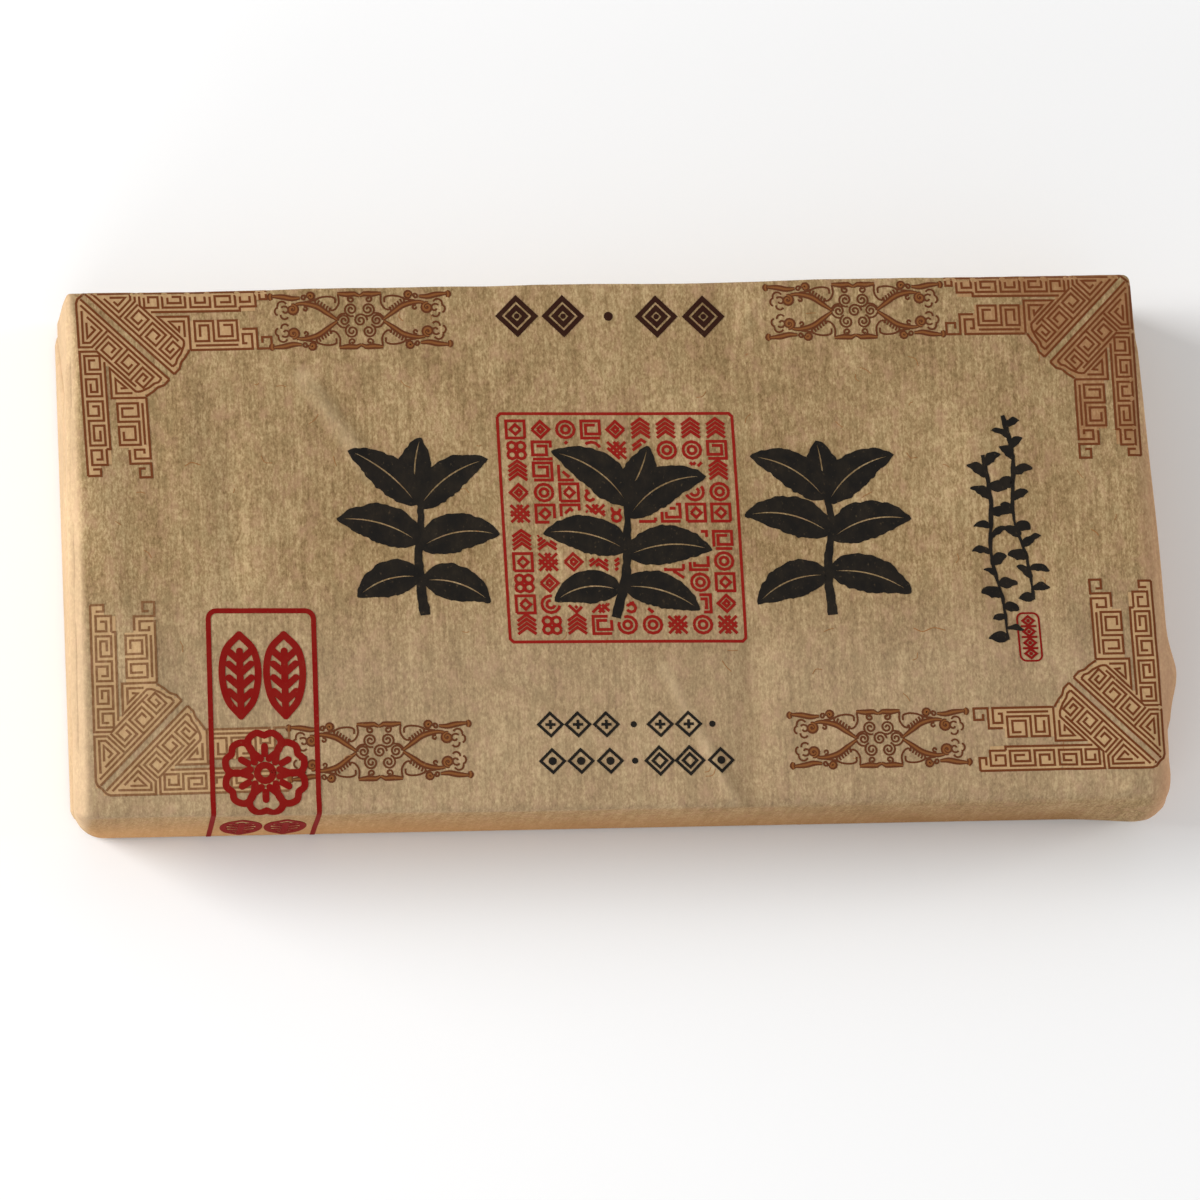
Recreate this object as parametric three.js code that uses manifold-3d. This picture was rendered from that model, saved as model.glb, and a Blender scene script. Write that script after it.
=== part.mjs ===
// A pressed tea brick, shut in a folded paper wrapper.
// The wrapper can't be seen into, so paper and tea are one closed solid, and the folds are its relief.
// Millimetres. +X runs along the brick, +Y to its back and +Z up.
// The origin lies under the middle of the brick, on the surface it rests on.

import * as THREE from 'three';
import { mergeVertices } from 'three/addons/utils/BufferGeometryUtils.js';
import Module from 'manifold-3d';

// The brick
const LENGTH = 118;
const WIDTH = 57.7;
const HEIGHT = 15;
const SWELL = 0.14; // height of the soft waves in the top and the long sides

// The pressed brick isn't true: how far its corners stand out along X and along Y
const TOP_CORNERS = {
  backLeft: [-0.2, -0.1],
  backRight: [-0.3, 0.5],
  frontLeft: [0.3, -0.2],
  frontRight: [0.55, 0.5],
};
const BASE_CORNERS = {
  backLeft: [0.1, 0.1],
  backRight: [0, 0.3],
  frontLeft: [-0.2, 0.1],
  frontRight: [0.4, 0.55],
};

// The wrapper's folds. Each end has its sides tucked in, then the top flap down, then the lower
// flap up over it. The sheet's long edges lap under the brick.
const TOP_FLAP = { proud: 0.15, startsIn: 6.6 }; // startsIn is measured from the brick's corner
const LOWER_FLAP = { proud: 0.32, startsIn: 1.4, height: 10.5 };
const LAP = { proud: 0.3, width: 22, centre: 3, slope: 2.5 }; // the slope hides the inner edge
const HAIR = 0.05; // a flap's sheet starts this far inside the faces that it comes from

// Corners seen from above: a radius at the top and one at the base
const CORNERS = {
  backLeft: [0.5, 0.6],
  backRight: [0.8, 1.2],
  frontLeft: [1.4, 4.4],
  frontRight: [2.2, 2.2],
};

// Upper edges: the radius goes from the first to the second between two places along the edge.
// The power goes from 1, a flat bevel, to 2, a round. No radius is larger than its corners'.
const LEFT_EDGE = { radii: [0.5, 1.3], between: [28, 22], power: 1.2 };
const RIGHT_EDGE = { radii: [0.7, 2.2], between: [27, 5], power: 2 };
const BACK_EDGE = { radii: [0.5, 0.6], between: [-50, 50], power: 2 };
const FRONT_EDGE = { radii: [0.8, 2], between: [-10, 45], power: 2 };
const BASE_EDGE = { radius: 0.7, power: 2 };

// The loosely folded right end
const BULGE = 1.45;
const BULGE_PEAK = 0.68; // place of the peak, from 0 at the back to 1 at the front
const BULGE_FULLNESS = 0.6; // below 1 the curve is fuller than a sine
const KNUCKLE = 0.95; // a sharp fold of loose paper
const KNUCKLE_PLACE = 0.766;
const KNUCKLE_WIDTH = 0.055;
const BULGE_REACH = 9; // how far back from the end the bulge fades out
const BULGE_FOOT = 0.35; // share of the bulge that is left at the base
const SAG = 1.5; // how far the loose front right corner hangs out below the top
const SAG_REACH = 9;

// Mesh steps: the rim is the band by an edge where the steps are fine
const RIM = 3.6;
const RIM_STEPS = 5;
const LENGTH_STEPS = 28;
const WIDTH_STEPS = 12;
const HEIGHT_RIM = 2.4;
const HEIGHT_RIM_STEPS = 4;
const HEIGHT_STEPS = 3;

const PAPER_COLOUR = 0xa28866;

const { clamp, lerp } = THREE.MathUtils;
const CORE_HEIGHT = HEIGHT - LAP.proud;

// Manifold-3d joins and cuts the closed meshes.
const wasm = await Module();
wasm.setup();

function toSolid(geometry) {
  geometry.deleteAttribute('normal');
  geometry.deleteAttribute('uv');
  const merged = mergeVertices(geometry);
  const mesh = new wasm.Mesh({
    numProp: 3,
    vertProperties: new Float32Array(merged.attributes.position.array),
    triVerts: new Uint32Array(merged.index.array),
  });
  return new wasm.Manifold(mesh);
}

function toGeometry(solid) {
  const { vertProperties, triVerts } = solid.getMesh();
  const geometry = new THREE.BufferGeometry();
  geometry.setAttribute('position', new THREE.BufferAttribute(vertProperties, 3));
  geometry.setIndex(new THREE.BufferAttribute(triVerts, 1));
  geometry.computeVertexNormals();
  return geometry;
}

// From 0 at one place to 1 at the other, with an easy start and end. Either may be the larger.
function ease(value, from, to) {
  const share = clamp((value - from) / (to - from), 0, 1);
  return share * share * (3 - 2 * share);
}

// The value at (right, front, top), three shares from 0 to 1, between the eight corners' values.
function blendCorners(top, base, right, front, upper, pick) {
  const level = (corners) => lerp(
    lerp(pick(corners.backLeft), pick(corners.backRight), right),
    lerp(pick(corners.frontLeft), pick(corners.frontRight), right),
    front,
  );
  return lerp(level(base), level(top), upper);
}

// Places along one side of the brick, from its one edge to the other, finer towards both edges.
function stations(size, rim, rimSteps, middleSteps) {
  const fine = Array.from({ length: rimSteps }, (_, k) => rim * (k / rimSteps) ** 2);
  const even = Array.from(
    { length: middleSteps + 1 },
    (_, k) => lerp(rim, size - rim, k / middleSteps),
  );
  return [...fine, ...even, ...fine.map((step) => size - step).reverse()];
}

// Moves the point (a, b) of a square corner onto rounds about the corner's centre.
// a and b go from 0 at the centre to 1 at the sides.
function roundPair(a, b, power) {
  const scale = Math.max(a, b) / (a ** power + b ** power) ** (1 / power);
  return [a * scale, b * scale];
}

function cornerRadius(x, y, heightShare) {
  const name = (y > 0 ? 'back' : 'front') + (x > 0 ? 'Right' : 'Left');
  const [top, base] = CORNERS[name];
  return lerp(base, top, ease(heightShare, 0, 0.8));
}

// The upper edge's form near a point from which the outward direction is (outX, outY).
function upperEdge(point, outX, outY) {
  const radiusAt = ({ radii, between }, place) => lerp(...radii, ease(place, ...between));
  const endEdge = outX > 0 ? RIGHT_EDGE : LEFT_EDGE;
  const longEdge = outY > 0 ? BACK_EDGE : FRONT_EDGE;
  const endShare = outX ** 2;
  return {
    radius: lerp(radiusAt(longEdge, point.x), radiusAt(endEdge, point.y), endShare),
    power: lerp(longEdge.power, endEdge.power, endShare),
  };
}

// How far the right end stands out, at a place from 0 at the back to 1 at the front.
function endBulge(place) {
  const skew = Math.log(0.5) / Math.log(BULGE_PEAK);
  const curve = Math.sin(Math.PI * place ** skew);
  const knuckle = KNUCKLE * Math.exp(-(((place - KNUCKLE_PLACE) / KNUCKLE_WIDTH) ** 2));
  return BULGE * Math.max(curve, 0) ** BULGE_FULLNESS + knuckle * Math.min(1, 4 * (1 - place));
}

function waves(x, y) {
  return Math.sin(x / 8.5 + 0.7) * Math.cos(y / 6.5 - 0.4) + 0.5 * Math.sin(x / 4.3 - y / 7.1);
}

// One point of the paper-covered brick from the same point of a plain block.
// half holds half the block's length and width, floor and roof its lowest and highest faces.
function dress(point, half, floor, roof) {
  const side = new THREE.Vector2(Math.sign(point.x) || 1, Math.sign(point.y) || 1);
  const heightShare = (point.z - floor) / (roof - floor);
  const corner = cornerRadius(side.x, side.y, heightShare);
  const gap = new THREE.Vector2(half.x - Math.abs(point.x), half.y - Math.abs(point.y));

  // In a corner the outline turns; elsewhere the nearer side gives the way out.
  let inset = Math.min(gap.x, gap.y);
  const out = gap.x < gap.y ? new THREE.Vector2(side.x, 0) : new THREE.Vector2(0, side.y);
  if (gap.x < corner && gap.y < corner) {
    const [a, b] = roundPair(1 - gap.x / corner, 1 - gap.y / corner, 2);
    point.x = side.x * (half.x - corner * (1 - a));
    point.y = side.y * (half.y - corner * (1 - b));
    inset = corner * (1 - Math.hypot(a, b));
    out.set(side.x * a, side.y * b).normalize();
  }

  // The upper or lower edge rolls the paper from the side to the face.
  const isUpper = heightShare > 0.5;
  const depth = isUpper ? roof - point.z : point.z - floor;
  const edge = isUpper ? upperEdge(point, out.x, out.y) : BASE_EDGE;
  if (inset < edge.radius && depth < edge.radius) {
    const [a, b] = roundPair(1 - inset / edge.radius, 1 - depth / edge.radius, edge.power);
    const shift = edge.radius * (1 - a) - inset;
    point.x -= out.x * shift;
    point.y -= out.y * shift;
    point.z = isUpper ? roof - edge.radius * (1 - b) : floor + edge.radius * (1 - b);
  }

  // The pressed brick isn't true, and the paper is loose at its right end. The underside stays flat.
  const right = 0.5 + point.x / (2 * half.x);
  const front = 0.5 - point.y / (2 * half.y);
  const standOut = (axis) => blendCorners(
    TOP_CORNERS, BASE_CORNERS, right, front, heightShare, (corner) => corner[axis],
  );
  const standX = standOut(0) * (point.x / half.x);
  const standY = standOut(1) * (point.y / half.y);
  const nearEnd = ease(point.x, half.x - BULGE_REACH, half.x);
  const rise = lerp(BULGE_FOOT, 1, ease(heightShare, 0, 0.6));
  const wave = SWELL * waves(point.x, point.y) * ease(heightShare, 0, 1);
  const nearLongSide = ease(Math.abs(point.y), 0.8 * half.y, half.y) * (1 - nearEnd);
  const toCorner = Math.hypot(half.x - point.x, half.y + point.y);
  const sag = SAG * ease(toCorner, SAG_REACH, 0) * Math.sin(Math.PI * heightShare ** 0.7);
  point.x += standX + endBulge(front) * nearEnd * rise + sag * Math.SQRT1_2;
  point.y += standY + side.y * nearLongSide * wave - sag * Math.SQRT1_2;
  point.z += isUpper ? wave : 0;
  return point;
}

// The brick with its ends and underside grown outwards, and its other faces drawn in by a hair.
function brickSolid({ ends = 0, base = 0, hair = 0 } = {}) {
  const half = new THREE.Vector2(LENGTH / 2 + ends, WIDTH / 2 - hair);
  const floor = hair - base;
  const roof = CORE_HEIGHT - hair;
  const xPlaces = stations(2 * half.x, RIM, RIM_STEPS, LENGTH_STEPS);
  const yPlaces = stations(2 * half.y, RIM, RIM_STEPS, WIDTH_STEPS);
  const zPlaces = stations(roof - floor, HEIGHT_RIM, HEIGHT_RIM_STEPS, HEIGHT_STEPS);
  const steps = [xPlaces, yPlaces, zPlaces].map((places) => places.length - 1);

  // A unit block's even steps are renumbered to the places worked out above.
  const geometry = new THREE.BoxGeometry(1, 1, 1, ...steps);
  const position = geometry.attributes.position;
  const point = new THREE.Vector3();
  for (let i = 0; i < position.count; i++) {
    point.fromBufferAttribute(position, i).addScalar(0.5);
    point.set(
      xPlaces[Math.round(point.x * steps[0])] - half.x,
      yPlaces[Math.round(point.y * steps[1])] - half.y,
      zPlaces[Math.round(point.z * steps[2])] + floor,
    );
    dress(point, half, floor, roof);
    position.setXYZ(i, point.x, point.y, point.z);
  }
  return toSolid(geometry);
}

// A prism along X from one place to another. Its outline is a list of places across and up.
function prismAlongX(outline, from, to) {
  const shape = new THREE.Shape(outline.map((place) => new THREE.Vector2(...place)));
  const geometry = new THREE.ExtrudeGeometry(shape, { depth: to - from, bevelEnabled: false });
  geometry.translate(0, 0, from);
  const across = new THREE.Vector3(0, 1, 0);
  const up = new THREE.Vector3(0, 0, 1);
  const along = new THREE.Vector3(1, 0, 0);
  geometry.applyMatrix4(new THREE.Matrix4().makeBasis(across, up, along));
  return toSolid(geometry);
}

// The cutting shape of one end flap: a trapezoid with 45 degree sides, between two heights.
function flapCutter(end, lowHalf, low, highHalf, high) {
  const outline = [[-lowHalf, low], [lowHalf, low], [highHalf, high], [-highHalf, high]];
  const near = end * (LENGTH / 2 - RIM);
  const far = end * (LENGTH / 2 + RIM);
  return prismAlongX(outline, Math.min(near, far), Math.max(near, far));
}

function topFlap(end) {
  const sheet = brickSolid({ ends: TOP_FLAP.proud, hair: HAIR });
  const halfAt = (height) => WIDTH / 2 - TOP_FLAP.startsIn - (CORE_HEIGHT - height);
  const low = -1;
  const high = CORE_HEIGHT + 1;
  return sheet.intersect(flapCutter(end, halfAt(low), low, halfAt(high), high));
}

function lowerFlap(end) {
  const sheet = brickSolid({ ends: LOWER_FLAP.proud, hair: HAIR });
  const halfAt = (height) => WIDTH / 2 - LOWER_FLAP.startsIn - height;
  const low = -1;
  const high = LOWER_FLAP.height;
  return sheet.intersect(flapCutter(end, halfAt(low), low, halfAt(high), high));
}

// The lap under the brick: its outer sheet ends in a sharp edge, and slopes away at the other side.
function lap() {
  const sheet = brickSolid({ base: LAP.proud });
  const edge = LAP.centre - LAP.width / 2;
  const otherSide = LAP.centre + LAP.width / 2;
  const outline = [
    [edge, -LAP.proud - 1],
    [otherSide - LAP.slope / LAP.proud, -LAP.proud - 1],
    [otherSide, -LAP.proud],
    [otherSide + LAP.slope, 0],
    [otherSide + LAP.slope, LAP.proud],
    [edge, LAP.proud],
  ];
  return sheet.intersect(prismAlongX(outline, -LENGTH, LENGTH));
}

function wrappedBrick() {
  const folds = [topFlap(-1), topFlap(1), lowerFlap(-1), lowerFlap(1), lap()];
  const solid = folds.reduce((brick, fold) => brick.add(fold), brickSolid());
  const geometry = toGeometry(solid);

  // The origin goes under the middle of the finished brick.
  geometry.computeBoundingBox();
  const middle = geometry.boundingBox.getCenter(new THREE.Vector3());
  const material = new THREE.MeshStandardMaterial({
    color: PAPER_COLOUR,
    roughness: 0.85,
    metalness: 0,
  });
  const mesh = new THREE.Mesh(geometry, material);
  mesh.name = 'wrapped_brick';
  mesh.position.set(-middle.x, -middle.y, -geometry.boundingBox.min.z);
  return mesh;
}

const teaBrick = new THREE.Group();
teaBrick.add(wrappedBrick());

export default teaBrick;
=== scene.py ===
import math
import random

import bmesh
import bpy
from bpy.props import FloatProperty, FloatVectorProperty, PointerProperty
from mathutils import Matrix, Vector, noise
from mathutils.bvhtree import BVHTree


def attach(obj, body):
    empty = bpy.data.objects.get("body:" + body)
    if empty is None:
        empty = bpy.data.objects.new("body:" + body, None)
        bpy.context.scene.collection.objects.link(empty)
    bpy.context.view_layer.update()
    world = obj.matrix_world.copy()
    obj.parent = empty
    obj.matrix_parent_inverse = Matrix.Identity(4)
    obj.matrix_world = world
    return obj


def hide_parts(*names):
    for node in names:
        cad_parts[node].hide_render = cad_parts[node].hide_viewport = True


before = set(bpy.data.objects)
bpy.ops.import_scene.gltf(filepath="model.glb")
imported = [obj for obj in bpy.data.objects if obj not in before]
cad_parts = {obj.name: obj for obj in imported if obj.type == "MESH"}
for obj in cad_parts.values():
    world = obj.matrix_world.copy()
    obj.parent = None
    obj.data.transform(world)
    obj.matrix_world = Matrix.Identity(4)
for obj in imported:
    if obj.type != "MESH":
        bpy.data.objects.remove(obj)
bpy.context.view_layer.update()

bl_info = {
    "name": "Wrapped tea brick",
    "version": (1, 0, 0),
    "blender": (4, 5, 0),
    "location": "3D View > Sidebar > Tea brick",
    "description": "Models a pressed tea brick in printed kraft paper, on a studio floor",
    "category": "Object",
}

# The frame
CAD_NODE = "wrapped_brick"
BODY = "root"
PAPER_FINISH = "ribbed_kraft"

# Shapes are worked out in millimetres, and a finished piece is scaled to metres.
MM = 0.001
TO_PART = Vector((-1.1182, 0.4605, 0.3))  # from the brick's own middle to the part's origin
LAP_PROUD = 0.3

# How far the pressed brick's corners stand out along X and along Y
TOP_CORNERS = {
    "back_left": (-0.2, -0.1),
    "back_right": (-0.3, 0.5),
    "front_left": (0.3, -0.2),
    "front_right": (0.55, 0.5),
}
BASE_CORNERS = {
    "back_left": (0.1, 0.1),
    "back_right": (0, 0.3),
    "front_left": (-0.2, 0.1),
    "front_right": (0.4, 0.55),
}

# Corners seen from above: a radius at the top and one at the base
CORNERS = {
    "back_left": (0.5, 0.6),
    "back_right": (0.8, 1.2),
    "front_left": (1.4, 3.3),
    "front_right": (2.2, 2.2),
}

# Edges: two radii, the two places between which the one turns into the other, and the power of
# the round, from 1 for a flat bevel to 2 for a circle
LEFT_EDGE = (0.5, 1.3), (28, 22), 1.2
RIGHT_EDGE = (0.7, 2.2), (27, 5), 2
BACK_EDGE = (0.5, 0.6), (-50, 50), 2
FRONT_EDGE = (0.8, 2), (-10, 45), 2
BASE_EDGE = 0.7, 2  # one radius all round, and its power

# The loosely folded right end
BULGE = 1.45
BULGE_PEAK = 0.68
BULGE_FULLNESS = 0.6
KNUCKLE = 0.95
KNUCKLE_PLACE = 0.766
KNUCKLE_WIDTH = 0.055
BULGE_REACH = 9
BULGE_FOOT = 0.35
SAG = 1.5
SAG_REACH = 9
SIDE_WAVE = 0.4  # the long sides are waved less than the top

# The block's steps along X, Y and Z, finer in a rim by each edge
RIM = 3.6, 3.6, 2.4
RIM_STEPS = 14, 14, 9
MIDDLE_STEPS = 228, 104, 10

# Where the small dents set in, and where they are at their full height
SMOOTH_FOOT = 0.6, 4
LOOSE_X = 46, 58
LOOSE_Y = 6, -18

# Folds and dents of the top: start, end, height and half width
CREASES = (
    ((-34.2, 19.2), (-27.8, 9.4), 0.2, 0.9),
    ((-32.0, 18.8), (-26.6, 11.4), -0.1, 1.1),
    ((-24.5, -10.4), (-8.6, -17.6), 0.16, 0.8),
    ((4.2, -14.2), (8.2, -22.6), 0.16, 0.8),
    ((7.6, -21.4), (11.2, -29.0), 0.22, 0.8),
    ((9.6, -24.2), (14.2, -28.4), -0.1, 1.0),
    ((13.6, -9.5), (12.4, -28.5), -0.3, 2.0),
    ((5.0, 21.6), (4.8, 16.4), 0.12, 0.7),
    ((13.6, 24.2), (16.8, 28.8), 0.14, 0.7),
    ((-57.2, 12.0), (-55.6, -7.0), 0.34, 2.2),
    ((-52.6, -9.0), (-51.0, -18.0), 0.3, 2.0),
    ((-46.8, 19.0), (-48.4, 9.0), 0.26, 1.8),
    ((-42.7, 13.0), (-42.6, -6.0), -0.26, 1.8),
    ((39.4, 14.0), (37.6, 4.0), 0.2, 1.6),
    ((47.0, -2.0), (49.6, -14.0), 0.2, 1.6),
    ((50.6, -25.4), (55.6, -27.2), 0.24, 0.7),
    ((52.2, -28.6), (56.6, -26.2), 0.2, 0.7),
    ((46.4, -24.6), (49.4, -27.8), 0.16, 0.7),
    ((10.4, -28.2), (11.4, -29.4), -0.3, 0.7),
)

# Painted highlights along ridge creases, and painted shade along hollow creases and along the lap's edges
# underneath: start, end and half width
LIT_CREASES = (
    ((-34.6, 19.6, 14.7), (-27.6, 9.0, 14.7), 1.5),
    ((3.6, -13.4, 14.7), (8.0, -22.2, 14.7), 1.1),
    ((7.8, -22.0, 14.7), (11.0, -29.0, 14.7), 1.0),
)
SHADED_CREASES = (
    ((-32.4, 18.2, 14.7), (-27.0, 11.0, 14.7), 1.3),
    ((-25.0, -10.2, 14.7), (-8.0, -17.8, 14.7), 0.9),
    ((9.4, -23.4, 14.7), (13.0, -29.2, 14.4), 1.2),
    ((12.9, -10.0, 14.7), (12.6, -28.6, 14.5), 2.4),
    ((-59.0, -8.1, 0.2), (59.0, -8.1, 0.2), 0.7),
    ((-59.0, 16.6, 0.2), (59.0, 16.6, 0.2), 0.6),
)


def mm(length):
    """A length property in millimetres."""
    return length / MM


def paint(red, green, blue):
    """A linear colour from three levels of 0 to 255, as a screen shows them."""
    def linear(level):
        share = level / 255
        return share / 12.92 if share <= 0.04045 else ((share + 0.055) / 1.055) ** 2.4
    return linear(red), linear(green), linear(blue)


def lerp(low, high, share):
    return low + (high - low) * share


def clamp(value, low=0.0, high=1.0):
    return max(low, min(high, value))


def ease(value, start, end):
    """From 0 at start to 1 at end, with an easy start and end. Either may be the larger."""
    share = clamp((value - start) / (end - start))
    return share * share * (3 - 2 * share)


def length_property(name, description, millimetres):
    return FloatProperty(name=name, description=description, default=millimetres * MM, unit="LENGTH")


def power_property(name, description, watts):
    return FloatProperty(name=name, description=description, default=watts, unit="POWER")


def colour_property(name, description, red, green, blue):
    """A colour from three levels of 0 to 255, as a screen shows them."""
    colour = paint(red, green, blue)
    return FloatVectorProperty(name=name, description=description, default=colour, size=3, subtype="COLOR")


class PaperSettings(bpy.types.PropertyGroup):
    """Sizes and colours of the brick and its wrapper."""

    length: length_property("Length", "The pressed brick along its long side", 118)
    width: length_property("Width", "The pressed brick from front to back", 57.7)
    height: length_property("Height", "The brick with the lap that it lies on", 15)
    swell: length_property("Swell", "Height of the soft waves in the paper", 0.14)
    crumple: length_property("Crumple", "Height of the small dents in the paper", 0.075)
    tan: colour_property("Paper", "Main colour of the paper", 153, 126, 88)
    pale: colour_property("Pale fibre", "Lightest flecks", 190, 164, 122)
    dark: colour_property("Dark fibre", "Darkest flecks", 116, 91, 58)
    rosy: colour_property("Rosy tint", "Warmer clouds", 170, 134, 104)
    olive: colour_property("Olive tint", "Cooler clouds", 140, 120, 82)
    # Painted highlight: paler paper that stands in for the strongly lit left end
    left_highlight: colour_property("Worn edge", "Rubbed paper at the left end", 206, 176, 142)
    # Painted highlight along the ridge creases
    crease: colour_property("Crease", "Creases that are rubbed pale", 204, 180, 142)
    # Paler, greyer paper towards the front of the face
    paler_front: colour_property("Dust", "Dusty paper along the front of the face", 184, 162, 138)
    # Painted light and shade down the front side: lighter where lit at the left, darker where shaded at the
    # right
    front_lit_left: colour_property("Left foot", "The front side's foot at the left", 200, 146, 92)
    front_shaded_right: colour_property("Right foot", "The front side's foot at the right", 138, 94, 50)
    # Painted highlight: paler, rosier paper that stands in for light on the right end
    right_highlight: colour_property("Right end", "Paler, rosier paper at the right end", 198, 152, 118)
    fibre: colour_property("Loose fibre", "Fibres pressed into the face", 150, 102, 58)


class InkSettings(bpy.types.PropertyGroup):
    """Line widths and colours of the print."""

    fret_line: length_property("Fret line", "Width of the corner ornament's lines", 0.25)
    scroll_line: length_property("Scroll line", "Width of the scrolls' bold lines", 0.42)
    scroll_fine: length_property("Scroll fine line", "Width of their fine lines", 0.2)
    scroll_core: length_property("Scroll core", "Width of the bold lines' paler core", 0.15)
    seal_line: length_property("Seal line", "Width of the red square's lines", 0.32)
    stamp_line: length_property("Stamp line", "Width of the red stamp's frame", 0.54)
    fret: colour_property("Fret", "Ink of the corners", 104, 54, 26)
    ground: colour_property("Fret ground", "Thin ink between the frets' lines", 198, 160, 116)
    # Also laid thinly along the whole back as painted shade
    dark_ground: colour_property("Dark ground", "The same at the back right", 152, 102, 64)
    scroll: colour_property("Scroll", "Ink of the scrolls", 92, 48, 24)
    core: colour_property("Scroll core", "Paler core of the scrolls", 124, 76, 38)
    seal: colour_property("Seal", "Ink of the red square", 134, 20, 12)
    stamp: colour_property("Stamp", "Ink of the red stamp", 122, 8, 4)
    black: colour_property("Black", "Ink of the leaves", 24, 21, 18)
    heading: colour_property("Heading", "Ink of the row at the back", 44, 18, 8)


class StageSettings(bpy.types.PropertyGroup):
    """Floor, light and camera."""

    floor: FloatVectorProperty(
        name="Floor",
        description="Colour of the floor",
        default=(0.93, 0.93, 0.93),
        size=3,
        subtype="COLOR",
    )
    key: power_property("Key light", "Power of the light from the left", 12.6)
    fill: power_property("Fill light", "Power of the light from the front", 3.9)
    side: power_property("Side light", "Power of the light from the right", 4.4)
    sky: FloatProperty(
        name="Sky",
        description="Strength of the light all round",
        default=0.5,
        subtype="FACTOR",
    )
    lens: FloatProperty(name="Lens", description="Focal length", default=206.658, unit="CAMERA")


def paper_settings():
    return bpy.context.scene.tea_paper


def ink_settings():
    return bpy.context.scene.tea_ink


# Finishes


class Socket:
    """One output of a shader node. Sums on it add Math nodes."""

    def __init__(self, finish, socket):
        self.finish = finish
        self.socket = socket

    def math(self, operation, first, second=0.0):
        settings = {"operation": operation}
        return self.finish.node("ShaderNodeMath", settings, {0: first, 1: second})

    def __add__(self, other):
        return self.math("ADD", self, other)

    __radd__ = __add__

    def __sub__(self, other):
        return self.math("SUBTRACT", self, other)

    def __rsub__(self, other):
        return self.math("SUBTRACT", other, self)

    def __mul__(self, other):
        return self.math("MULTIPLY", self, other)

    def clamped(self):
        settings = {"operation": "ADD", "use_clamp": True}
        return self.finish.node("ShaderNodeMath", settings, {0: self, 1: 0.0})

    def past(self, place, rate):
        """From 0 at a place up to 1 past it. rate is the rise in a millimetre, below 0 for the way back."""
        return ((self - place) * rate).clamped()


class Finish:
    """One material and the nodes that make it."""

    def __init__(self, name):
        self.material = bpy.data.materials.new(name)
        self.material.use_nodes = True
        self.tree = self.material.node_tree
        self.shader = self.tree.nodes["Principled BSDF"]
        place = self.node("ShaderNodeTexCoord", output="Object")
        self.place = self.scaled(place, (1 / MM, 1 / MM, 1 / MM))

    def node(self, kind, settings=None, sockets=None, output=0):
        """Adds a node with its settings first, then its sockets' values or links."""
        made = self.tree.nodes.new(kind)
        for name, value in (settings or {}).items():
            setattr(made, name, value)
        for key, value in (sockets or {}).items():
            self.feed(made.inputs[key], value)
        return Socket(self, made.outputs[output])

    def feed(self, target, value):
        if isinstance(value, Socket):
            self.tree.links.new(value.socket, target)
        else:
            target.default_value = value

    def set(self, **sockets):
        """Sets the shader's own sockets, named with _ for a space."""
        for name, value in sockets.items():
            self.feed(self.shader.inputs[name.replace("_", " ")], value)

    def scaled(self, vector, scale):
        return self.node("ShaderNodeVectorMath", {"operation": "MULTIPLY"}, {0: vector, 1: scale})

    def noise(self, scale, detail, roughness):
        """Noise from 0 to 1. scale is how many features there are in a millimetre along X, Y and Z."""
        place = self.scaled(self.place, scale)
        sockets = {"Vector": place, "Scale": 1.0, "Detail": detail, "Roughness": roughness}
        return self.node("ShaderNodeTexNoise", {}, sockets, output="Fac")

    def axes(self):
        """The place's X, Y and Z in millimetres."""
        split = self.node("ShaderNodeSeparateXYZ", {}, {0: self.place}).socket.node
        return [Socket(self, output) for output in split.outputs]

    def vector(self, operation, first, second, output=0):
        sockets = {0: first, 3 if operation == "SCALE" else 1: second}
        return self.node("ShaderNodeVectorMath", {"operation": operation}, sockets, output)

    def near_line(self, start, end, half_width):
        """From 1 on a straight line to 0 at half_width from it."""
        along = Vector(end) - Vector(start)
        spot = self.vector("SUBTRACT", self.place, start)
        share = (self.vector("DOT_PRODUCT", spot, along, "Value") * (1 / along.length_squared)).clamped()
        foot = self.vector("SCALE", tuple(along), share)
        away = self.vector("LENGTH", self.vector("SUBTRACT", spot, foot), (0, 0, 0), "Value")
        return (1.0 - away * (1 / half_width)).clamped()

    def mixed(self, share, first, second):
        """Mixes two colours, from the first at share 0 to the second at 1."""
        low, high = (value if isinstance(value, Socket) else (*value, 1.0) for value in (first, second))
        return self.node("ShaderNodeMix", {"data_type": "RGBA"}, {0: share, 6: low, 7: high}, output=2)

    def matt(self, colour, height, strength, roughness, specular):
        """Gives the material a colour and the relief of paper, and returns it."""
        sockets = {"Strength": strength, "Distance": PAPER_RELIEF * MM, "Height": height}
        normal = self.node("ShaderNodeBump", {}, sockets, output="Normal")
        self.set(Base_Color=colour, Roughness=roughness, Normal=normal, Specular_IOR_Level=specular)
        return self.material


# Noises, each with its features in a millimetre along X, Y and Z, its detail and its roughness. The
# paper's are its ribs, fibres, flecks, clouds and tints.
PAPER_NOISES = (
    ((2.2, 0.12, 0.12), 2.0, 0.6),
    ((4.4, 2.3, 2.3), 2.0, 0.7),
    ((1.8, 1.1, 1.1), 3.0, 0.6),
    ((0.13, 0.08, 0.1), 3.0, 0.55),
    ((0.8, 0.5, 0.5), 3.0, 0.6),
)
# Specks that break up the painted highlights along the creases
HIGHLIGHT_SPECKS = (1.6, 1.1, 1.1), 2.0, 0.5
INK_SPECKS = (2.6, 2.0, 2.6), 3.0, 0.7
INK_CLOUDS = (0.7, 0.6, 0.7), 2.0, 0.5
FLOOR_CLOUDS = (0.01, 0.01, 0.01), 2.0, 0.5
PAPER_RELIEF = 0.05
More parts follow.
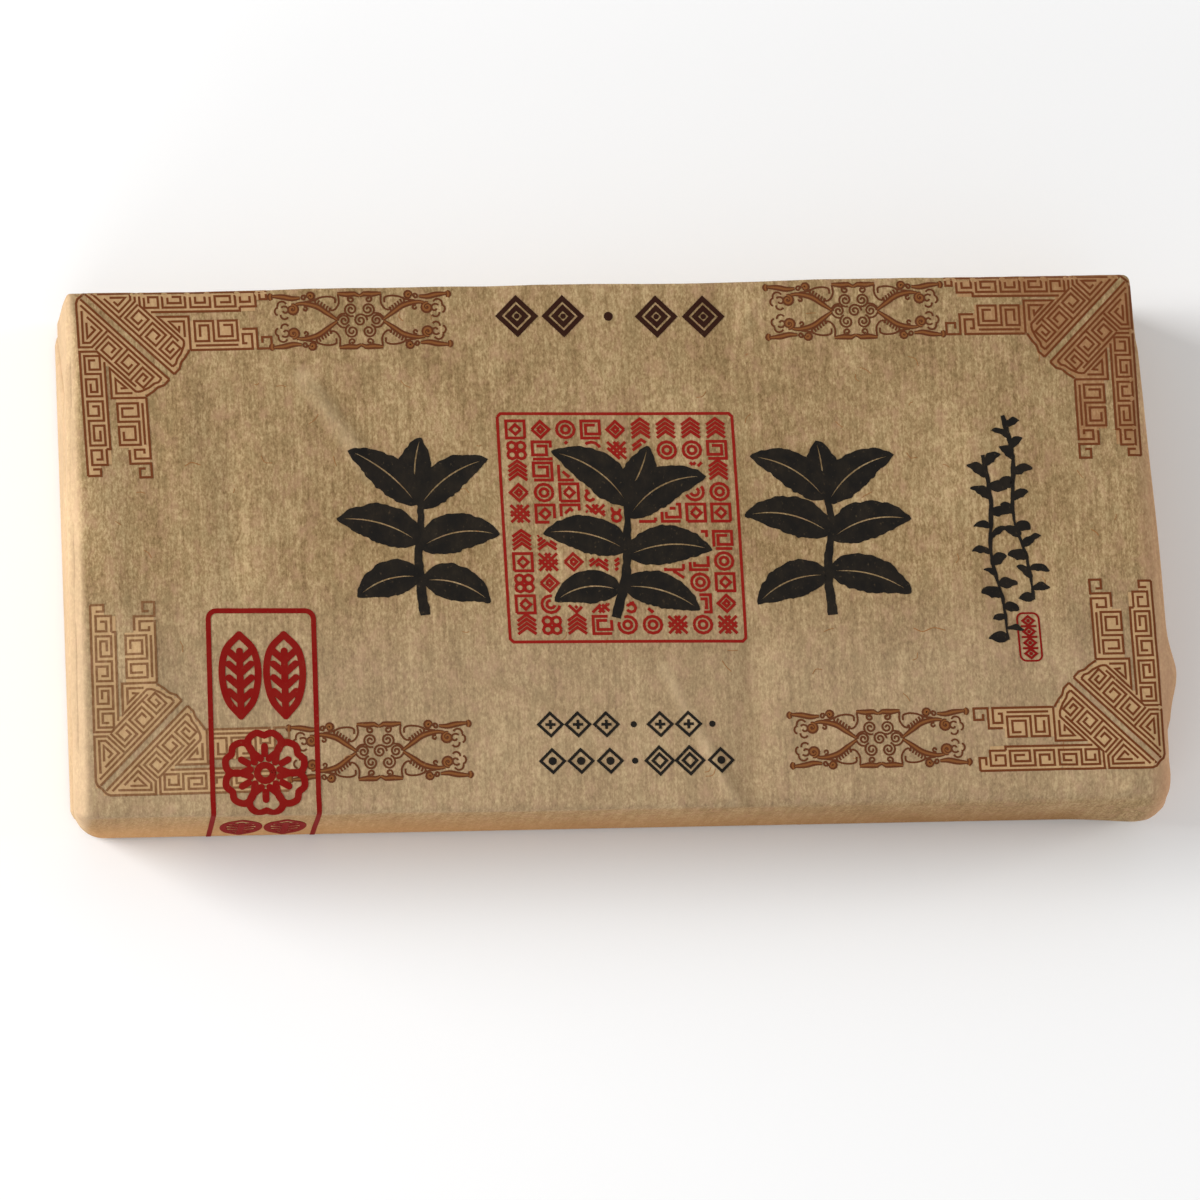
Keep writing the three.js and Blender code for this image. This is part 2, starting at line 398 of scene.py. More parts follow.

# Where a tone of the paper or the ink sets in: a place, and the rise in a millimetre from there
# Where the painted highlight at the left end sets in
LEFT_HIGHLIGHT = -58.6, -1.3
# Where the painted light and shade down the front side sets in: the front side, left of the right end's
# knuckle, below the top's edge and towards its foot
FRONT_SIDE = -27.6, -1.2
LEFT_OF_KNUCKLE = 57.0, -0.12
UNDER_EDGE = 14.4, -0.8
TO_FOOT = 12.4, -0.1
# Where the painted highlight at the right end sets in
RIGHT_HIGHLIGHT = 56.6, 0.5
# Where the paper turns paler and greyer towards the front of the face
FRONT_BAND = -2.0, -0.09
# Where the painted glare on the frets' ink sets in, at the front left
GLARE_LEFT = -24.0, -0.08
GLARE_FRONT = 6.0, -0.1
# The frets' ground darkens towards the back right; along the back this is painted shade
GROUND_DARKENS_RIGHT = 32.0, 0.08
GROUND_SHADED_BACK = 4.0, 0.12


def paper_pattern(finish):
    """The paper's colour and height at each place: fine ribs, short fibres and soft clouds."""
    paper = paper_settings()
    ribs, fibres, flecks, clouds, tints = (finish.noise(*kind) for kind in PAPER_NOISES)
    light = (ribs - 0.5) * 1.7 + (fibres - 0.5) * 3.2 + (flecks - 0.5) * 1.9 + (clouds - 0.5) * 1.7
    base = finish.mixed(light.clamped(), paper.tan, paper.pale)
    base = finish.mixed((0.0 - light).clamped(), base, paper.dark)
    warm = ((tints - 0.5) * 2.4).clamped()
    green = ((0.5 - tints) * 2.0).clamped()
    colour = finish.mixed(green, finish.mixed(warm, base, paper.rosy), paper.olive)
    return colour, ribs * 0.6 + fibres * 0.7


def paper_finish():
    """Kraft paper with painted light: a painted highlight at its left end, painted light and shade down its
    front side, warmer at its foot, a painted highlight at its right end, and painted highlights and shade
    along creases. It is paler and greyer towards the front of the face.
    """
    paper = paper_settings()
    finish = Finish(PAPER_FINISH)
    colour, height = paper_pattern(finish)
    x, y, z = finish.axes()
    # Painted highlight: the left end is painted paler, standing in for the light from the left
    left_lit = (x + y * 0.0066).past(*LEFT_HIGHLIGHT) * 0.5
    # Painted light and shade down the front side, lit at the left and shaded at the right, strongest
    # towards its foot
    under_edge = z.past(*UNDER_EDGE)
    front = y.past(*FRONT_SIDE) * x.past(*LEFT_OF_KNUCKLE)
    foot = (under_edge * 0.22 + z.past(*TO_FOOT) * 0.45) * front
    rightwards = (x * 0.011 + 0.5).clamped()
    # Painted highlight at the right end
    right_lit = x.past(*RIGHT_HIGHLIGHT) * (0.45 - y * 0.006)
    # Paler and greyer towards the front of the face
    band = y.past(*FRONT_BAND) * (1.0 - under_edge) * 0.2
    # Painted highlights along ridge creases, and painted shade along hollow creases and the lap's edges
    # underneath
    pale = sum(finish.near_line(*crease) for crease in LIT_CREASES).clamped()
    crease_shade = sum(finish.near_line(*crease) for crease in SHADED_CREASES).clamped()
    layers = (
        (band, paper.paler_front),
        (crease_shade * 0.22, paper.dark),
        (pale * finish.noise(*HIGHLIGHT_SPECKS) * 0.7, paper.crease),
        (foot, finish.mixed(rightwards, paper.front_lit_left, paper.front_shaded_right)),
        (right_lit, paper.right_highlight),
        (left_lit, paper.left_highlight),
    )
    for share, tone in layers:
        colour = finish.mixed(share, colour, tone)
    return finish.matt(colour, height, 0.5, 0.88, 0.15)


def ink_finish(name, colour, wear, glare=0.0):
    """Ink soaked into the paper, with the fibres showing through where it is thin. glare is how much
    paler it is painted at the front left, a painted highlight that stands in for glare."""
    finish = Finish(name)
    paper, height = paper_pattern(finish)
    specks = finish.noise(*INK_SPECKS)
    clouds = finish.noise(*INK_CLOUDS)
    thin = ((specks - 0.62) * 6.0).clamped() * wear + (clouds - 0.35) * wear * 0.35
    if glare:
        x, y, _ = finish.axes()
        thin = thin.clamped() + x.past(*GLARE_LEFT) * y.past(*GLARE_FRONT) * glare
    return finish.matt(finish.mixed(thin.clamped(), colour, paper), height, 0.45, 0.85, 0.12)


def ground_finish():
    """Thin ink between the frets' lines, paler than the paper but darker at the back right, with painted
    shade along the whole back.
    """
    ink = ink_settings()
    finish = Finish("fret_ground_ink")
    paper, height = paper_pattern(finish)
    x, y, _ = finish.axes()
    right = x.past(*GROUND_DARKENS_RIGHT)
    # Painted shade along the back, fullest at the back right
    back_right = y.past(*GROUND_SHADED_BACK) * (0.22 + right * 0.78)
    tint = finish.mixed(back_right, ink.ground, ink.dark_ground)
    return finish.matt(finish.mixed(0.6, paper, tint), height, 0.5, 0.88, 0.15)


# The wrapped block


def stations(size, rim, rim_steps, middle_steps):
    """Places along one side of the block, from 0 to its size, finer towards both ends."""
    fine = [rim * (step / rim_steps) ** 2 for step in range(rim_steps)]
    even = [lerp(rim, size - rim, step / middle_steps) for step in range(middle_steps + 1)]
    return fine + even + [size - place for place in reversed(fine)]


def round_pair(a, b, power):
    """Moves a point of a square corner onto rounds about the corner's centre."""
    scale = max(a, b) / (a**power + b**power) ** (1 / power)
    return a * scale, b * scale


def edge_radius(edge, place):
    radii, between, _ = edge
    return lerp(*radii, ease(place, *between))


def blend_corners(right, front, upper, axis):
    """The corners' stand-out along one axis, between the block's eight corners."""
    def level(corners):
        back = lerp(corners["back_left"][axis], corners["back_right"][axis], right)
        near = lerp(corners["front_left"][axis], corners["front_right"][axis], right)
        return lerp(back, near, front)
    return lerp(level(BASE_CORNERS), level(TOP_CORNERS), upper)


def end_bulge(place):
    """How far the right end stands out, at a place from 0 at the back to 1 at the front."""
    skew = math.log(0.5) / math.log(BULGE_PEAK)
    curve = math.sin(math.pi * place**skew)
    knuckle = KNUCKLE * math.exp(-(((place - KNUCKLE_PLACE) / KNUCKLE_WIDTH) ** 2))
    return BULGE * max(curve, 0) ** BULGE_FULLNESS + knuckle * min(1, 4 * (1 - place))


def waves(x, y):
    return math.sin(x / 8.5 + 0.7) * math.cos(y / 6.5 - 0.4) + 0.5 * math.sin(x / 4.3 - y / 7.1)


class Block:
    """A plain block of the brick's size, and the way from its points to the paper's."""

    def __init__(self, ends=0.0, base=0.0):
        paper = paper_settings()
        self.half = Vector((mm(paper.length) / 2 + ends, mm(paper.width) / 2))
        self.floor = -base
        self.roof = mm(paper.height) - LAP_PROUD
        self.swell = mm(paper.swell)

    def edge(self, x, y, out, upper):
        """Radius and power of the edge near a point from which out is the way outwards."""
        if not upper:
            return BASE_EDGE
        end = RIGHT_EDGE if out.x > 0 else LEFT_EDGE
        side = BACK_EDGE if out.y > 0 else FRONT_EDGE
        share = out.x**2
        radius = lerp(edge_radius(side, x), edge_radius(end, y), share)
        return radius, lerp(side[2], end[2], share)

    def dress(self, point):
        """One point of the paper from the same point of the plain block."""
        x, y, z = point
        half = self.half
        side_x = 1 if x >= 0 else -1
        side_y = 1 if y >= 0 else -1
        share = (z - self.floor) / (self.roof - self.floor)
        name = ("back" if side_y > 0 else "front") + ("_right" if side_x > 0 else "_left")
        top, base = CORNERS[name]
        corner = lerp(base, top, ease(share, 0, 0.8))
        gap_x, gap_y = half.x - abs(x), half.y - abs(y)

        # In a corner the outline turns; elsewhere the nearer side gives the way out.
        inset = min(gap_x, gap_y)
        out = Vector((side_x, 0)) if gap_x < gap_y else Vector((0, side_y))
        if gap_x < corner and gap_y < corner:
            a, b = round_pair(1 - gap_x / corner, 1 - gap_y / corner, 2)
            x = side_x * (half.x - corner * (1 - a))
            y = side_y * (half.y - corner * (1 - b))
            inset = corner * (1 - math.hypot(a, b))
            out = Vector((side_x * a, side_y * b)).normalized()

        # The upper or lower edge rolls the paper from the side to the face.
        upper = share > 0.5
        depth = self.roof - z if upper else z - self.floor
        radius, power = self.edge(x, y, out, upper)
        if inset < radius and depth < radius:
            a, b = round_pair(1 - inset / radius, 1 - depth / radius, power)
            shift = radius * (1 - a) - inset
            x -= out.x * shift
            y -= out.y * shift
            z = self.roof - radius * (1 - b) if upper else self.floor + radius * (1 - b)

        # The pressed brick isn't true, and the paper is loose at its right end.
        right = 0.5 + x / (2 * half.x)
        front = 0.5 - y / (2 * half.y)
        stand_x = blend_corners(right, front, share, 0) * x / half.x
        stand_y = blend_corners(right, front, share, 1) * y / half.y
        near_end = ease(x, half.x - BULGE_REACH, half.x)
        rise = lerp(BULGE_FOOT, 1, ease(share, 0, 0.6))
        wave = self.swell * waves(x, y) * ease(share, 0, 1)
        near_side = ease(abs(y), 0.8 * half.y, half.y) * (1 - near_end)
        to_corner = math.hypot(half.x - x, half.y + y)
        sag = SAG * ease(to_corner, SAG_REACH, 0) * math.sin(math.pi * max(share, 0) ** 0.7)
        return Vector((
            x + stand_x + end_bulge(clamp(front)) * near_end * rise + sag * math.sqrt(0.5),
            y + stand_y + side_y * near_side * wave * SIDE_WAVE - sag * math.sqrt(0.5),
            z + (wave if upper else 0),
        )) + TO_PART


def unit_block(counts):
    """A cube of side 1, its faces cut into counts[axis] even steps."""
    bm = bmesh.new()
    bmesh.ops.create_cube(bm, size=1)
    for axis, count in enumerate(counts):
        edges = [e for e in bm.edges if abs(e.verts[0].co[axis] - e.verts[1].co[axis]) > 0.5]
        bmesh.ops.subdivide_edges(bm, edges=edges, cuts=count - 1)
    return bm


def crease_height(x, y):
    """Height of the top's creases at a place."""
    total = 0.0
    spot = Vector((x, y))
    for start, end, height, half_width in CREASES:
        start, end = Vector(start), Vector(end)
        along = end - start
        share = (spot - start).dot(along) / along.length_squared
        if -0.1 < share < 1.1:
            aside = (spot - start - along * share).length / half_width
            fade = ease(share, -0.1, 0.15) * ease(share, 1.1, 0.8)
            total += height * fade * math.exp(-aside * aside)
    return total


def dents(spot, spacing, shift):
    """Noise from -1 to 1 whose features lie a spacing apart along X, Y and Z."""
    x, y, z = (place / gap for place, gap in zip(spot, spacing))
    return noise.noise(Vector((x, y, z + shift)))


def crumple_height(spot, crumple):
    """Height of the small dents at a place, with more of them at the loose right end."""
    soft = dents(spot, (7.5, 6.0, 6.0), 0)
    streaks = dents(spot, (1.9, 3.4, 7.0), 9)
    rumples = dents(spot, (1.7, 2.6, 2.4), 4)
    loose = ease(spot.x, *LOOSE_X) * ease(spot.y, *LOOSE_Y)
    return crumple * (soft + 0.3 * streaks + 2.2 * loose * rumples)


def make_piece(bm, name, material):
    """Makes a bmesh in millimetres a piece of the object."""
    bmesh.ops.scale(bm, vec=(MM, MM, MM), verts=bm.verts)
    mesh = bpy.data.meshes.new(name)
    bm.to_mesh(mesh)
    bm.free()
    mesh.materials.append(material)
    mesh.shade_smooth()
    piece = bpy.data.objects.new(name, mesh)
    bpy.context.scene.collection.objects.link(piece)
    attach(piece, BODY)
    return piece


def shared_paper():
    """The paper's material, made once."""
    return bpy.data.materials.get(PAPER_FINISH) or paper_finish()


class WrapBrick(bpy.types.Operator):
    """Makes the paper wrapper round the pressed brick"""

    bl_idname = "tea.wrap_brick"
    bl_label = "Wrap brick"

    def execute(self, context):
        block = Block()
        crumple = mm(paper_settings().crumple)
        size = 2 * block.half.x, 2 * block.half.y, block.roof - block.floor
        places = [stations(*sizes) for sizes in zip(size, RIM, RIM_STEPS, MIDDLE_STEPS)]
        counts = [len(steps) - 1 for steps in places]
        low = Vector((-block.half.x, -block.half.y, block.floor))
        bm = unit_block(counts)
        for vert in bm.verts:
            steps = [places[axis][round((vert.co[axis] + 0.5) * counts[axis])] for axis in range(3)]
            vert.co = block.dress(low + Vector(steps))
        bm.normal_update()
        moves = []
        for vert in bm.verts:
            height = crumple_height(vert.co, crumple) * ease(vert.co.z, *SMOOTH_FOOT)
            if vert.normal.z > 0.5:
                height += crease_height(vert.co.x, vert.co.y)
            moves.append(vert.normal * height)
        for vert, move in zip(bm.verts, moves):
            vert.co += move
        wrapper = make_piece(bm, "paper_wrapper", shared_paper())
        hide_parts(CAD_NODE)
        return {"FINISHED"}


# Folded layers: how far a layer stands out, how far in from the brick's corner it starts, and its foot
TOP_FLAP = 0.15, 6.6, 5
LOWER_FLAP = 0.32, 1.4, 0.3
TOP_FLAP_DROP = 0.35  # its upper border lies this far under the face
LOWER_FLAP_TOP = 10.5
FLAP_ROWS = 30
FLAP_COLUMNS = 110
FLAP_BORDER = 0.8  # a flap thins out over this much of its border
LAP_STEPS = 160, 30, 2
LAP_WIDTH = 22
LAP_CENTRE = 3
LAP_SLOPE = 2.5


def add_flap(bm, end, proud, low, high, half_at):
    """One end flap: a thin trapezoid with 45 degree sides, dressed like the brick's end."""
    block = Block(ends=proud)
    sheet = bmesh.ops.create_grid(bm, x_segments=FLAP_COLUMNS, y_segments=FLAP_ROWS, size=0.5)["verts"]
    for vert in sheet:
        height = lerp(low, high, vert.co.y + 0.5)
        half = half_at(height)
        inside = min(half * (1 - 2 * abs(vert.co.x)), high - height)
        sunk = proud * (1 - ease(inside, 0, FLAP_BORDER))
        vert.co = (end * (block.half.x - sunk), 2 * half * vert.co.x, height)
    faces = list({face for vert in sheet for face in vert.link_faces})
    inner = bmesh.ops.extrude_face_region(bm, geom=faces)["geom"]
    inner = [item for item in inner if isinstance(item, bmesh.types.BMVert)]
    bmesh.ops.translate(bm, vec=(-end * (proud + 0.1), 0, 0), verts=inner)
    for vert in sheet + inner:
        vert.co = block.dress(vert.co)


class FoldEnds(bpy.types.Operator):
    """Makes the folded flaps of the two ends"""

    bl_idname = "tea.fold_ends"
    bl_label = "Fold ends"

    def execute(self, context):
        bm = bmesh.new()
        block = Block()
        upper, upper_in, upper_foot = TOP_FLAP
        lower, lower_in, lower_foot = LOWER_FLAP

        def upper_half(z):
            return block.half.y - upper_in - (block.roof - z)

        def lower_half(z):
            return block.half.y - lower_in - z

        for end in (-1, 1):
            add_flap(bm, end, upper, upper_foot, block.roof - TOP_FLAP_DROP, upper_half)
            add_flap(bm, end, lower, lower_foot, LOWER_FLAP_TOP, lower_half)
        bmesh.ops.recalc_face_normals(bm, faces=bm.faces)
        make_piece(bm, "end_flaps", shared_paper())
        return {"FINISHED"}


class LapUnderside(bpy.types.Operator):
    """Makes the lengthwise lap that the brick lies on"""

    bl_idname = "tea.lap_underside"
    bl_label = "Lap underside"

    def execute(self, context):
        block = Block(base=LAP_PROUD)
        bm = unit_block(LAP_STEPS)
        edge = LAP_CENTRE - LAP_WIDTH / 2
        for vert in bm.verts:
            x, y, z = (share + 0.5 for share in vert.co)
            across = edge + y * (LAP_WIDTH + LAP_SLOPE)
            thinner = ease(across, edge + LAP_WIDTH, edge + LAP_WIDTH + LAP_SLOPE)
            bottom = lerp(-LAP_PROUD, 0, thinner)
            vert.co = block.dress(Vector((lerp(-1, 1, x) * block.half.x, across, lerp(bottom, 0.1, z))))
        make_piece(bm, "underside_lap", shared_paper())
        return {"FINISHED"}


# Ink


INK_DEPTH = 0.06  # an ink film reaches this far down, so that it closes below the paper's face
LAYERS = 12  # crossing strokes lie in turn at slightly different heights
LAYER_STEP = 0.0008
FRONT_FOLD = -26.6
BACK_FOLD = 28.0
FOLD_LEAN = 0.03  # the sheet is folded a little askew, so the print leans on the sides
MARCH = 0.12
ABOVE = 40.0
SHARP = math.radians(40)  # a film's border is a sharp edge, so that its face is shaded flat
STROKE_STEP = 0.6
BAR_STEP = 0.4
DOT_SIDES = 14
SPIRAL_LEGS = 7

# How far each film stands over the paper, so that the right one shows where two cross
LIFTS = {
    "fret_grounds": 0.012,
    "paper_fibres": 0.02,
    "scroll_panels": 0.025,
    "red_square": 0.025,
    "corner_frets": 0.03,
    "small_seal": 0.035,
    "scroll_cores": 0.038,
    "leaf_sprigs": 0.04,
    "heading_lozenges": 0.04,
    "caption_lozenges": 0.04,
    "ink_twigs": 0.04,
    "red_stamp": 0.055,
}


class Sheet:
    """The wrapper's surface, unfolded: X along the brick, and Y over its top and down its sides."""

    def __init__(self):
        bm = bmesh.new()
        bm.from_mesh(bpy.data.objects["paper_wrapper"].data)
        bmesh.ops.scale(bm, vec=(1 / MM, 1 / MM, 1 / MM), verts=bm.verts)
        self.tree = BVHTree.FromBMesh(bm)
        bm.free()

    def place(self, x, y, lift):
        """The point at a lift over the paper. Beyond a fold it follows the paper down the side."""
        inside = clamp(y, FRONT_FOLD, BACK_FOLD)
        spot, normal = self.tree.ray_cast(Vector((x, inside, ABOVE)), Vector((0, 0, -1)))[:2]
        left = y - inside
        while abs(left) > LAYER_STEP:
            step = math.copysign(min(MARCH, abs(left)), left)
            along = (normal.cross(Vector((1, 0, 0))) - Vector((FOLD_LEAN, 0, 0))).normalized()
            spot, normal = self.tree.find_nearest(spot + along * step)[:2]
            left -= step
        return spot + normal * lift


class Placement:
    """Where a motif lies on the sheet: its origin, and one millimetre along its own X and Y."""

    def __init__(self, origin, right=(1, 0), up=(0, 1), scale=1.0):
        self.origin = Vector(origin)
        self.right = Vector(right) * scale
        self.up = Vector(up) * scale

    def __call__(self, point):
        return self.origin + self.right * point[0] + self.up * point[1]


class Artwork:
    """Flat strokes of ink on the sheet, in millimetres."""

    def __init__(self):
        self.bm = bmesh.new()
        self.strokes = 0

    def next_height(self):
        self.strokes += 1
        return (self.strokes - 1) % LAYERS * LAYER_STEP

    def stroke(self, path, sides, place=None, lanes=1, closed=False, step=STROKE_STEP):
        """Sweeps a stroke along a path. sides(share) gives how far its edges lie to the right and left."""
        points = [place(p) if place else Vector(p) for p in path]
        if closed:
            points.append(points[0])
        points = spaced(points, step)
        count = len(points) - 1
        lengths = [0.0]
        for start, end in zip(points, points[1:]):
            lengths.append(lengths[-1] + (end - start).length)
        aside = mitres(points, closed)
        sheet = bmesh.ops.create_grid(self.bm, x_segments=count, y_segments=lanes, size=0.5)["verts"]
        height = self.next_height()
        for vert in sheet:
            index = round((vert.co.x + 0.5) * count)
            right, left = sides(lengths[index] / lengths[-1])
            spot = points[index] + aside[index] * lerp(right, left, vert.co.y + 0.5)
            vert.co = (spot.x, spot.y, height)
        if closed:
            bmesh.ops.remove_doubles(self.bm, verts=sheet, dist=0.001)

    def line(self, path, width, place=None, closed=False, step=STROKE_STEP):
        self.stroke(path, lambda share: (-width / 2, width / 2), place, closed=closed, step=step)

    def bar(self, path, width, place):
        """A stroke with round ends."""
        points = [Vector(p) for p in path]
        radius = width / 2
        first = (points[0] - points[1]).normalized() * radius
        last = (points[-1] - points[-2]).normalized() * radius
        caps = [radius * (1 - math.cos(math.radians(turn))) for turn in (0, 20, 45, 70)]
        begin = [points[0] + first - first.normalized() * cap for cap in caps]
        finish = [points[-1] + last - last.normalized() * cap for cap in reversed(caps)]
        path = begin + points + finish
        total = sum((b - a).length for a, b in zip(path, path[1:]))

        def sides(share):
            nearest = min(share, 1 - share) * total
            half = radius * math.sqrt(clamp(1 - (1 - min(nearest / radius, 1)) ** 2, 0.0025, 1))
            return -half, half

        self.stroke(path, sides, place, lanes=2, step=BAR_STEP)

    def dot(self, centre, radius, place):
        matrix = Matrix.Translation((*place(centre), self.next_height()))
        bmesh.ops.create_circle(self.bm, cap_ends=True, radius=radius, segments=DOT_SIDES, matrix=matrix)

    def lay(self, name, material):
        """Gives the flat ink its depth, lays it on the paper and makes it a piece."""
        bm = self.bm
        raised = bmesh.ops.extrude_face_region(bm, geom=list(bm.faces))["geom"]
        raised = [item for item in raised if isinstance(item, bmesh.types.BMVert)]
        bmesh.ops.translate(bm, vec=(0, 0, INK_DEPTH), verts=raised)
        bmesh.ops.recalc_face_normals(bm, faces=bm.faces)
        for edge in bm.edges:
            edge.smooth = edge.calc_face_angle(math.pi) < SHARP
        sheet = Sheet()
        for vert in bm.verts:
            x, y, z = vert.co
            vert.co = sheet.place(x, y, LIFTS[name] + z - INK_DEPTH)
        make_piece(bm, name, material)


def spaced(points, step):
    """The same path with points added, so that none lie further apart than step."""
    result = [points[0]]
    for start, end in zip(points, points[1:]):
        pieces = max(1, math.ceil((end - start).length / step))
        result += [start.lerp(end, piece / pieces) for piece in range(1, pieces + 1)]
    return result


def mitres(points, closed):
    """At each point of a path, the way to its left, longer at a corner so that widths stay even."""
    def left_of(start, end):
        way = (end - start).normalized()
        return Vector((-way.y, way.x))

    lefts = [left_of(start, end) for start, end in zip(points, points[1:])]
    before = [lefts[-1] if closed else lefts[0]] + lefts
    after = lefts + [lefts[0] if closed else lefts[-1]]
    result = []
    for one, other in zip(before, after):
        middle = one + other
        if middle.length < 0.3:
            result.append(one)
        else:
            middle.normalize()
            result.append(middle / max(middle.dot(one), 0.5))
    return result


def box_spiral(left, low, right, high, start, turn, pitch=1.0):
    """The corners of a square spiral that winds into a box. start is the corner it leaves from,
    0 to 3 from the low left one round, and turn is 1 the one way round and -1 the other."""
    corner = start
    sides = {"left": left, "low": low, "right": right, "high": high}
    names = ("low", "right", "high", "left")
    spots = (("left", "low"), ("right", "low"), ("right", "high"), ("left", "high"))
    path = [(sides[spots[corner][0]], sides[spots[corner][1]])]
    for _ in range(SPIRAL_LEGS):
        passed = names[corner] if turn > 0 else names[(corner - 1) % 4]
        corner = (corner + turn) % 4
        path.append((sides[spots[corner][0]], sides[spots[corner][1]]))
        inward = 1 if passed in ("low", "left") else -1
        sides[passed] += inward * pitch
    return path


def curl(centre, outer, inner, start, sweep, steps=16):
    """A round spiral about a centre, from an outer to an inner radius. Angles are in degrees."""
    path = []
    for step in range(steps + 1):
        share = step / steps
        angle = math.radians(start + sweep * share)
        radius = lerp(outer, inner, share)
        path.append((centre[0] + radius * math.cos(angle), centre[1] + radius * math.sin(angle)))
    return path


def turned(path, turn_x, turn_y=1):
    """A path stretched or mirrored along X and Y."""
    return [(x * turn_x, y * turn_y) for x, y in path]


def moved(path, along, up):
    return [(x + along, y + up) for x, y in path]


def lozenge(x, y, half_width, half_height):
    return [(x - half_width, y), (x, y - half_height), (x + half_width, y), (x, y + half_height)]


def rounded_outline(half, low, high, radius):
    """A rectangle with round corners, half as wide on each side of X 0, from one Y to another."""
    far = half - radius
    corners = (far, high - radius), (-far, high - radius), (-far, low + radius), (far, low + radius)
    turns = [curl(corner, radius, radius, 90 * number, 90, 4) for number, corner in enumerate(corners)]
    return sum(turns, [])


def curve(points, steps=6):
    """A smooth path through a few points."""
    knots = [Vector(p) for p in points]
    knots = [2 * knots[0] - knots[1]] + knots + [2 * knots[-1] - knots[-2]]
    path = []
    for a, b, c, d in zip(knots, knots[1:], knots[2:], knots[3:]):
        for step in range(steps):
            t = step / steps
            bend = (2 * a - 5 * b + 4 * c - d) * t * t
            path.append((2 * b + (c - a) * t + bend + (3 * b - a - 3 * c + d) * t**3) / 2)
    path.append(knots[-2])
    return path


# Corner frets, on a lattice of lines. A fret's corner is its origin, and its arms run along X and Y.

LATTICE = 0.485
ARM_END = 41.0
ARM_START = 25.0
ARM_STRETCH = 1.13  # beyond its start an arm is drawn out
FAN_CELLS = (12.3, 16.3), (17.4, 21.4), (22.5, 25.7)  # along the fan's diagonal
FRET_CORNERS = (
    Placement((-58.9, 29.55), (1, 0.004), (0.04, -1), LATTICE),
    Placement((57.45, 30.0), (-1, 0.004), (0.012, -1), LATTICE),
    Placement((-58.2, -25.93), (1, 0.0045), (-0.004, 1), LATTICE),
    Placement((58.55, -25.42), (-1, 0.0), (-0.03, 1), LATTICE),
)


def fan_point(along, aside):
    """A lattice point from its place along the fan's diagonal and aside from it."""
    return (along - aside) * math.sqrt(0.5), (along + aside) * math.sqrt(0.5)


def linked(first, second, side):
    """Two square spirals joined like an S or its mirror image, one over the other."""
    starts = (2, 1) if side > 0 else (3, 0)
    below = box_spiral(*first, starts[0], side)
    return list(reversed(below)) + box_spiral(*second, starts[1], side)


def lengthened(path):
    """A path of half a fret, drawn out along the Y arm."""
    return [(x, y + max(y - ARM_START, 0) * (ARM_STRETCH - 1)) for x, y in path]


def half_fret():
    """The lines of a fret on one side of its diagonal, along its Y arm."""
    last = ARM_END - 0.4
    paths = [
        [(1.4, 1.4), (0.4, 2.2), (0, 3.2), (0, 13.2), (2.9, 13.2), (6.5, 9.6)],
        [(1.1, 4.9), (1, 12.2), (2.5, 12.2), (5.3, 9.4), (2.2, 6.3)],
        [(2, 7.6), (2, 11.1), (3.8, 9.3), (2.9, 8.4)],
        [(0, last), (0, 14.2), (3.9, 14.2), (12.1, 22.3)],
        [(5.4, 16.6), (5.4, 35.2), (4.5, 35.2)],
        [(12.4, 23.5), (11.9, 23.4), (6.5, 18.0), (6.5, 24.9), (14.2, 24.9)],
        [(11.2, 23.8), (7.6, 23.8), (7.6, 20.45), (9.9, 22.6), (8.6, 22.7)],
        [(14.2, 24.9), (14.2, 34.4)],
        [(13.2, 26.0), (13.2, 34.4)],
        [(4.5, 35.2), (4.5, 38.4), (1.1, 38.4), (1.1, 35.4), (3.4, 35.4), (3.4, 37.3), (2.1, 37.3)],
        [(0, last), (2.9, last), (2.9, 39.3), (1.2, 39.3)],
        [(9.6, 35.4), (9.6, 38.2), (14.2, 38.2), (14.2, ARM_END)]
        + [(11.6, ARM_END), (11.6, 39.2), (12.9, 39.2)],
        [(14.2, 34.4), (14.2, 37.2), (10.8, 37.2), (10.8, 35.4), (12.9, 35.4), (12.9, 36.2)],
        linked((1.0, 15.2, 4.4, 19.3), (1.0, 20.5, 4.4, 24.4), 1),
        linked((1.0, 25.5, 4.4, 29.4), (1.0, 30.4, 4.4, 34.4), -1),
        linked((7.6, 26.0, 12.2, 29.7), (7.6, 30.7, 12.2, 34.4), 1),
        [fan_point(3.2, 1.9), fan_point(27.2, 1.9)],
        [fan_point(2.3, 0.85), fan_point(28.6, 0.85)],
    ]
    for number, (near, far) in enumerate(FAN_CELLS):
        outwards = number % 2
        start, turn = (0, -1) if outwards else (3, 1)
        cell = box_spiral(near, 2.9, far, 6.3, start, turn)
        cell[0] = (near, 1.9 if outwards else 7.2)
        paths.append([fan_point(*spot) for spot in cell])
    outer = [fan_point(28.6, 0.85), (18.4, 22.1), (16.9, 22.6), (15.9, 23.5), (14.2, 24.6)]
    inner = [fan_point(27.2, 1.9), (17.2, 21.4), (16.2, 21.7), (15.0, 22.6), (13.2, 23.4), (12.4, 23.5)]
    return paths + [outer, inner]


# The ground between the lines of half a fret: how far each stretch of X goes along Y
GROUND_ENDS = (
    (3.0, 40.8), (5.5, 38.3), (6.5, 17.6), (7.5, 24.7), (9.5, 35.0), (14.0, 38.0),
    (15.0, 24.0), (16.0, 23.2), (17.0, 22.5), (18.0, 22.1), (19.5, 21.4),
)
GROUND_ROW = 0.5
GROUND_WIDTH = 1.1 * GROUND_ROW * LATTICE  # rows overlap a little
GROUND_START = 1.4  # from the fret's diagonal


def fret_ground():
    """Close rows that fill half a fret between its diagonal and its outline."""
    rows = []
    x = GROUND_ROW / 2
    for bound, end in GROUND_ENDS:
        while x < bound:
            rows.append([(x, x + GROUND_START), (x, end)])
            x += GROUND_ROW
    return rows


